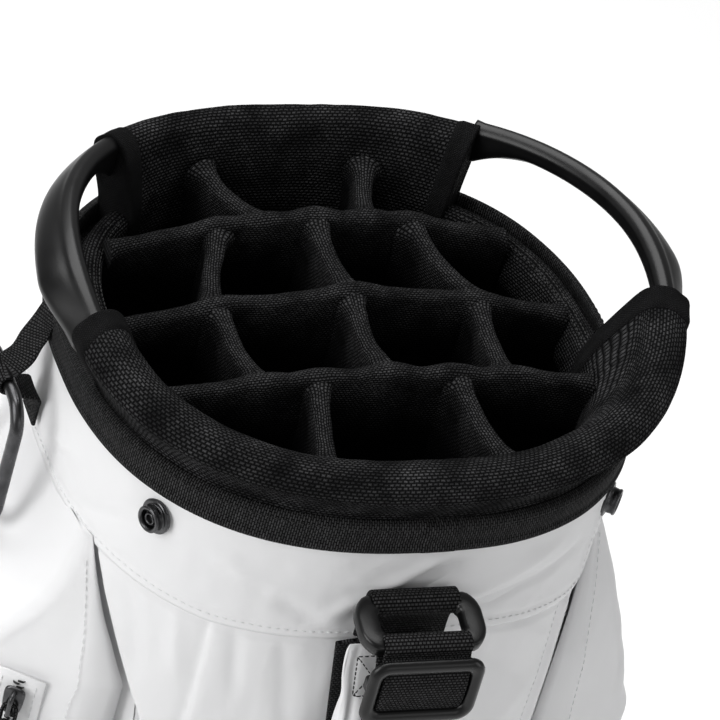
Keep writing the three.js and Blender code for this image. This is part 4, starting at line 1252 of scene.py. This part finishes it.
def make_zips():
    for name, (_, _, turn, low, high) in ZIPS.items():
        place_in = zip_place(name)
        levels = np.linspace(low, high, max(8, int((high - low) / 8)))
        rows = []
        for z in levels:
            wave = 0.25 * math.sin(z / 16.5)
            ring = [
                (-11, -0.2), (-10.6, -1.0 + wave), (-6, -1.1), (-2.8, -1.5), (-2.2, -1.5), (2.2, -1.5),
                (2.8, -1.5), (6, -1.1), (10.6, -1.0 - wave), (11, -0.2), (6, 0.1), (-6, 0.1),
            ]
            rows.append(place_in([(x, y, z) for x, y in ring]))
        tape = loft(f"zip_cloth_{name}", rows, "white")
        swap_uv(tape)
        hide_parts(f"zip_tape_{name}")
        coil_teeth(name, place_in, low, high)
        for way in (-1, 1):
            path = place_in([(way * 7.4, -1.35, z) for z in (low + 3, high - 3)])
            label = "right" if way > 0 else "left"
            stitches(f"zip_stitching_{name}_{label}", path, normal=outward(turn - 90), radius=0.26)
        parked = high - 11.5
        zip_slider(name, place_in, parked)
        zip_puller(name, place_in, parked)


def coil_teeth(name, place_in, low, high):
    """Two interlocked rows of coil teeth as one piece."""
    pitch = 1.6
    count = int((high - low - 2) / pitch)
    vertices, faces = [], []
    for k in range(count):
        z = low + 1 + pitch * (k + 0.5)
        way = 1 if k % 2 else -1
        first = len(vertices)
        for x, y, r in ((2.5, -1.5, 0.35), (1.9, -2.3, 0.5), (0.2, -2.55, 0.55), (-0.5, -2.4, 0.4)):
            ring = [(way * x, y + r * math.sin(t), z + 0.85 * r * math.cos(t)) for t in circle(6)]
            vertices += list(place_in(ring))
        faces += capped_rings(first, 4, 6)
    make_object(f"zip_coil_{name}", vertices, faces, None, "plastic", "bag")


def block(name, outline, front, back, place_in, z0, finish, body, bevel=0.7):
    """A moulded slab from an outline in x and z, its edges rounded."""
    outline = np.asarray(outline, float)
    centre = outline.mean(0)
    shrink = 1 - bevel / np.abs(outline - centre).max()
    rows = []
    for y, scale in (
        (back, shrink), (back - 0.3 * bevel, 0.5 + 0.5 * shrink), (back - bevel, 1), (front + bevel, 1),
        (front + 0.3 * bevel, 0.5 + 0.5 * shrink), (front, shrink),
    ):
        ring = centre + (outline - centre) * scale
        rows.append(place_in([(x, y, z0 + z) for x, z in ring]))
    return loft(name, rows, finish, body=body)


def zip_slider(name, place_in, z0):
    body = f"slider_{name}"
    waist = []
    for t in circle(40):
        c, s = math.cos(t), math.sin(t)
        waist.append((5.3 * bent(c, 0.55) * (0.82 + 0.18 * s), 7.3 * bent(s, 0.6)))
    face = block(f"zip_slider_plate_{name}", waist, -5.5, -3.6, place_in, z0, "gunmetal", body)
    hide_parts(f"zip_slider_{name}")
    arch = ((-5.0, -5.2), (-8.0, -5.0), (-9.4, -3.4), (-9.6, 0), (-9.4, 3.4), (-8.0, 5.0), (-5.0, 5.2))
    path = curve_through([(0, y, z) for y, z in arch], 24, False) + (0, 0, z0)
    swept(f"zip_slider_bridge_{name}", place_in(path), disc(1.05, 10), "gunmetal", body=body)


def zip_puller(name, place_in, z0):
    """A cord-like neck from the slider's bridge into a moulded tab."""
    body = f"puller_{name}"
    y = -PIN_OUT
    hoop = ((-3.0, -9), (-3.0, -4), (-2.2, -0.6), (0, 0.4), (2.2, -0.6), (3.0, -4), (3.0, -9))
    neck = curve_through([(x, y, z) for x, z in hoop], 30, False) + (0, 0, z0)
    swept(f"zip_pull_neck_{name}", place_in(neck), disc(0.85, 10), "webbing", body=body)
    outline = []
    for t in circle(48):
        c, s = math.cos(t), math.sin(t)
        wide = 4.4 - 0.7 * (1 + s) / 2 + 0.35 * math.cos(3 * t)
        outline.append((wide * bent(c, 0.6), 12.4 * bent(s, 0.75)))
    tab = block(f"zip_pull_tab_{name}", outline, y - 1.7, y + 1.5, place_in, z0 - 20.8, "plastic", body, 1.1)
    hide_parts(f"zip_puller_{name}")


make_zips()


# ------------------------------------------------------------ snaps, towel ring
def make_snaps():
    profile = [
        (7.6, -1.0), (7.6, 0.3), (7.3, 0.75), (6.6, 0.95), (6.0, 0.8), (5.75, 0.9), (5.6, 1.6), (5.45, 3.3),
        (5.75, 3.7), (5.8, 4.2), (5.45, 4.65), (4.9, 4.75), (4.3, 4.5), (4.05, 3.9), (3.95, 2.6), (3.8, 1.5),
        (3.3, 1.35), (2.95, 1.5), (2.8, 2.6), (2.65, 3.5), (2.3, 3.8), (1.9, 3.6), (1.75, 3.0), (1.7, 1.0),
        (0.02, 0.8), (0.02, -1.0),
    ]
    seat = grown(TUBE, 1.6)
    places = {"front_left": 217.3, "front_right": 322.7, "rear_left": 128, "rear_right": 52}
    for name, angle in places.items():
        r = float(oval(angle, seat))
        x, y = r * math.cos(math.radians(angle)), r * math.sin(math.radians(angle))
        power = OVAL_POWER - 1
        normal = Vector((
            math.copysign((abs(x) / seat[0]) ** power / seat[0], x),
            math.copysign((abs(y) / seat[1]) ** power / seat[1], y), 0,
        )).normalized()
        if name == "front_left":
            normal = (Matrix.Rotation(math.radians(-13), 3, "Z") @ normal).normalized()
        base = Vector((x, y, DIVIDER_TOP - 47)) + normal * 0.8
        made = lathe(f"rain_hood_snap_{name}", profile, base, normal, "gunmetal", 48)
        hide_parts(f"hood_snap_{name}")


TOWEL = (-138.0, 12.0, DIVIDER_TOP - 46)


def make_towel_ring():
    x, y, z = TOWEL
    wall = -(TUBE[0] + 2.1)
    turn = np.radians(np.linspace(95, 290, 14))
    around = [(x + 4.4 * math.cos(t), y, z + 4.4 * math.sin(t)) for t in turn]
    path = [(wall + 1.5, y + 15, COLLAR_FOOT + 12), (wall - 3.2, y + 12, COLLAR_FOOT + 5)]
    path += [(wall - 7.6, y + 8, COLLAR_FOOT + 1), (wall - 12.5, y + 3.5, COLLAR_FOOT - 3)]
    path += around
    path += [(x + 7, y + 0.6, z - 7), (wall - 4.6, y + 2, z - 10), (wall - 2.4, y + 4, z - 16)]
    path += [(wall - 1.8, y + 5, z - 26)]
    path = even(curve_through(path, 160, False), 90)
    made = strap("towel_webbing", path, (0, 1, 0), 15, 1.7, "webbing")
    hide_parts("towel_loop")
    patch = [
        (wall - 3.5, y + 4 + 5 * math.cos(t), z - 18.5 + 4 * math.sin(t))
        for t in np.linspace(0, 2 * math.pi, 40)
    ]
    stitches("towel_webbing_stitching", patch, "black_thread", normal=(-1, 0, 0), radius=0.3)
    ring = [(x, y + a, z - 31 + b) for a, b in rounded_box(48, 62, 12, 10)]
    ring = even(ring, 120, True)
    made = swept("towel_bar_ring", ring, disc(2.9, 16), "gunmetal", body="towel_ring", closed=True)
    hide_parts("towel_ring")


make_snaps()
make_towel_ring()


# ------------------------------------------------------------ shoulder strap
LOOP_REAR = (-121.0, DIVIDER_TOP - 57)
LOOP_FRONT = (-140.5, DIVIDER_TOP - 62)
STRIP = -145.8
WEB_WIDE = 38.0
WEB_THICK = 2.2
PAD_LOW = 300.0
PAD_HIGH = DIVIDER_TOP - 75
PAD_PLANE = -130.2


def make_strap_loop():
    rear, front = np.array(LOOP_REAR), np.array(LOOP_FRONT)
    reach = np.linalg.norm(front - rear)
    out = (front - rear) / reach
    centre = (rear + front) / 2
    rim = even(rounded_box(45, reach, 7, 8), 96, True)
    rows = []
    flat = np.array([-out[1], out[0]])
    for i in range(len(rim)):
        step = rim[(i + 1) % len(rim)] - rim[i - 1]
        step /= np.linalg.norm(step)
        side = np.array([step[1], -step[0]])
        broad = 2.5 + 2.2 * smoothstep(abs(rim[i, 0]), 15.5, 20)
        tall = 2.5 + 1.1 * smoothstep(abs(rim[i, 0]), 15.5, 20)
        ring = []
        for t in circle(20):
            a, b = broad * bent(math.cos(t), 0.5), tall * bent(math.sin(t), 0.5)
            px, po = rim[i] + side * a
            y = centre[0] + out[0] * po + flat[0] * b
            z = centre[1] + out[1] * po + flat[1] * b
            ring.append((px, y, z))
        rows.append(ring)
    made = loft("strap_loop_frame", rows, "plastic", closed=True)
    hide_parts("strap_loop")


def around_bar(bar, radius, start, stop):
    """Points round a bar that runs along X, as (y, z), between two angles."""
    return [
        (bar[0] + radius * math.cos(t), bar[1] + radius * math.sin(t))
        for t in np.radians(np.linspace(start, stop, 16))
    ]


def side_path(points, count, dense=240):
    smooth = curve_through(points, dense, False)
    line = even(smooth, count)
    return np.stack([np.zeros(count), line[:, 0], line[:, 1]], 1)


def make_straps():
    seat = -(TUBE[1] + 3.4)
    rear = around_bar(LOOP_REAR, 3.9, 80, 290)
    path = [(seat + 0.4, 779), (seat, 789), (seat - 0.4, 799), (seat - 1.8, 804.0)] + rear
    path += [(seat - 4.2, 795.4), (seat - 2.6, 790), (seat - 2.4, 781)]
    made = strap("strap_anchor_webbing", side_path(path, 80), (1, 0, 0), WEB_WIDE, WEB_THICK, "webbing")
    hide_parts("strap_anchor")
    path = [(STRIP + 4.2, 740), (STRIP + 3.6, 765), (STRIP + 4.4, 782), (-138.2, 790)]
    path += around_bar(LOOP_FRONT, 3.9, -40, 200)
    path += [(STRIP - 0.2, 786), (STRIP, 770), (STRIP, 740), (STRIP, 700), (STRIP, 660), (STRIP + 0.4, 625)]
    path += [(-142.6, 604), (-138.6, 590), (-138.2, 565), (-138.2, 541)]
    path = side_path(path, 260, 900)
    made = strap("strap_main_webbing", path, (1, 0, 0), WEB_WIDE, WEB_THICK, "webbing", body="strap")
    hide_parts("strap_webbing")
    slider_and_turn()
    strap_pad()
    backing = [(-(TUBE[1] + 6.6), z) for z in np.linspace(YOKE_FOOT + 3, 320, 12)]
    path = side_path(backing, 160)
    path[:, 0] = np.interp(path[:, 2], (700, 737, 781), (1.0, -2.5, -8.75))
    strap("strap_backing_webbing", path, (1, 0, 0), WEB_WIDE, 1.8, "webbing")
    tail = [
        (-130.4, 318), (-130.4, 299), (-129.6, 262), (-126.4, 226), (-121.6, 204), (-120.4, 190),
        (-120.3, 151),
    ]
    tail = side_path(tail, 110)
    made = strap("strap_tail_webbing", tail, (1, 0, 0), WEB_WIDE, WEB_THICK, "webbing", body=None)
    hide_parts("strap_tail")
    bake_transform(made)


def slider_and_turn():
    """A tri-glide buckle: a bevelled frame with the webbing turned over its middle bar."""
    middle = DIVIDER_TOP - 79.5
    outer = rounded_box(49.5, 33, 7.4, 8)
    window = rounded_box(38.6, 20.6, 3.8, 8)

    def inset(by):
        return outer * (1 - by / 25.5, 1 - by / 16.5)

    def flared(by):
        return window * (1 + by / 19.5, 1 + by / 10.3)

    stations = [
        (inset(1.6), -147.3), (outer, -148.2), (outer, -149.4), (inset(1.0), -150.6), (inset(2.4), -151.2),
        (flared(2.0), -151.0), (flared(0.7), -150.4), (window, -149.4), (window, -148.0),
        (flared(0.8), -147.3),
    ]
    rows = np.array([[(x, y, middle + z) for x, z in ring] for ring, y in stations]).transpose(1, 0, 2)
    made = loft("strap_slider_frame", rows, "plastic", body="strap_slider", closed=True)
    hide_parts("strap_slider")
    bar = [(x, -142.8, middle) for x in np.linspace(-21, 21, 20)]
    moulding = dict(finish="plastic", body="strap_slider", side=(0, 0, 1))
    swept("strap_slider_bar", bar, rounded_box(5.6, 2.6, 1.2, 4), **moulding)
    for way, label in ((-1, "left"), (1, "right")):
        cheek = [(way * 21.2, y, middle) for y in (-148.2, -146, -144, -141.8)]
        swept(f"strap_slider_cheek_{label}", cheek, rounded_box(7.0, 3.0, 1.2, 4), **moulding)
    half_turn = ((-146.6, 15), (-147.2, 12), (-148.6, 8.6), (-149.6, 4), (-149.8, 0))
    turn = [(y, middle + up) for y, up in half_turn]
    turn += [(y, middle - up) for y, up in half_turn[-2::-1]]
    turn = side_path(turn, 46)
    strap("strap_slider_turn", turn, (1, 0, 0), WEB_WIDE - 0.8, 1.9, "webbing", body="strap_slider")


def pad_lean(z):
    return float(np.interp(z, (705, 750, 788), (0.0, 1.0, -4.0)))


def strap_pad():
    """A long foam pad in white cloth, its edges pulled in by the seam, with a stitched box at its top."""
    top = PAD_HIGH + 5
    levels = np.concatenate([np.linspace(PAD_LOW, 600, 60), np.linspace(604, top, 70)])
    rows = []
    for z in levels:
        end = min(z - PAD_LOW, top - z)
        close = math.sqrt(max(0.0, 1 - (1 - min(1.0, end / 7)) ** 2))
        flat = float(smoothstep(z, 748, 764))
        half = 28 - 2.6 * float(smoothstep(z, 680, 745)) - 1.0 * flat - 1.0 * (1 - close)
        half += 0.7 * float(noise(101, z / 21, 1.5)) + 0.35 * float(noise(104, z / 7, 2.5))
        thick = 6.4 * (0.22 + 0.78 * close) * (1 - 0.62 * flat)
        middle = pad_lean(z)
        ring = []
        for t in circle(72):
            c, s = math.cos(t), math.sin(t)
            x, y = half * bent(c, 0.36), thick * bent(s, 0.75)
            y *= 1 - 0.42 * float(hill(abs(x), half - 4.2, 1.5)) * (abs(c) < 0.999)
            wrinkle = 0.5 * float(noise(102, x / 9 + 9, z / 13)) + 0.3 * float(noise(103, x / 4 + 9, z / 6))
            ring.append((x + middle, PAD_PLANE + y + wrinkle * (abs(s) > 0.3), z))
        rows.append(ring)
    made = loft("strap_shoulder_pad", rows, "white", body="strap")
    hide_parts("strap_pad")
    left, right, foot, head = -20.5, -6, 762, 784
    box_path = [
        (left, head), (right, head), (right, foot), (left, foot), (left, head), (right, foot), (left, foot),
        (right, head),
    ]
    path = [(x + pad_lean(z), PAD_PLANE - 3.1, z) for x, z in box_path]
    stitches(
        "strap_pad_stitching_box", path, "black_thread", body="strap", normal=(0, -1, 0), pitch=2.6,
        length=1.9,
    )
    for way, label in ((-1, "left"), (1, "right")):
        edge = [
            (way * (23.8 - 2.6 * float(smoothstep(z, 680, 745))) + pad_lean(z), PAD_PLANE - 3.9, z)
            for z in np.linspace(PAD_LOW + 12, 745, 60)
        ]
        stitches(f"strap_pad_stitching_{label}", edge, body="strap", normal=(0, -1, 0))


make_strap_loop()
make_straps()


# ------------------------------------------------------------ light, floor and finish
CAD_FINISH = {
    "base_sole": "rubber", "frame_stay_left": "aluminium", "frame_stay_right": "aluminium",
    "top_frame": "plastic",
}


FINISH_WORDS = {
    "gunmetal": ("zip_slider", "zip_puller", "towel_ring", "snap"),
    "webbing": ("strap_webbing", "strap_tail", "towel_loop", "zip_tape", "piping"),
    "plastic": ("strap_loop", "strap_slider", "strap_anchor", "handle", "boot"),
    "cuff": ("cuff", "rim"),
    "divider": ("divider",),
}


def cad_finish(name):
    """The first finish with a word that is in a node's name, or white cloth."""
    if name in CAD_FINISH:
        return CAD_FINISH[name]
    for finish, words in FINISH_WORDS.items():
        if any(word in name for word in words):
            return finish
    return "white"


def dress_cad():
    """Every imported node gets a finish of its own, whether or not another piece stands for it."""
    for name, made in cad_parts.items():
        finish = MATERIALS[cad_finish(name)]
        slots = made.data.materials
        for i in range(len(slots)):
            slots[i] = finish
        if not len(slots):
            slots.append(finish)


dress_cad()


def soft_light(name, size, power, place_at, aim):
    data = bpy.data.lights.new(name, "AREA")
    data.shape = "RECTANGLE"
    data.size, data.size_y = size
    data.energy = power
    made = bpy.data.objects.new(name, data)
    bpy.context.scene.collection.objects.link(made)
    made.location = place_at
    made.rotation_euler = (Vector(aim) - Vector(place_at)).to_track_quat("-Z", "Y").to_euler()


def make_stage():
    mesh = bpy.data.meshes.new("floor")
    reach = 9
    corners = [(-reach, -reach, 0), (reach, -reach, 0), (reach, reach, 0), (-reach, reach, 0)]
    mesh.from_pydata(corners, [], [(0, 1, 2, 3)])
    floor = bpy.data.objects.new("floor", mesh)
    bpy.context.scene.collection.objects.link(floor)
    mesh.materials.append(nodes_of("pale_floor", (0.97, 0.97, 0.97), 0.9, specular=0.1)[0])
    world = bpy.data.worlds.new("studio")
    bpy.context.scene.world = world
    world.use_nodes = True
    background = world.node_tree.nodes["Background"]
    background.inputs["Color"].default_value = (1, 1, 1, 1)
    background.inputs["Strength"].default_value = 0.25
    aim = (0, 0, 0.75)
    soft_light("key_left", (1.4, 1.8), 46, (-2.4, -0.6, 1.9), aim)
    soft_light("overhead", (2.6, 2.6), 86, (-0.2, 0.9, 3.0), aim)
    soft_light("front", (1.6, 1.2), 7, (0.7, -2.6, 1.5), aim)
    soft_light("fill_right", (1.0, 1.6), 9, (2.2, -1.4, 1.3), aim)
    bpy.context.scene.view_settings.view_transform = "Standard"


make_stage()
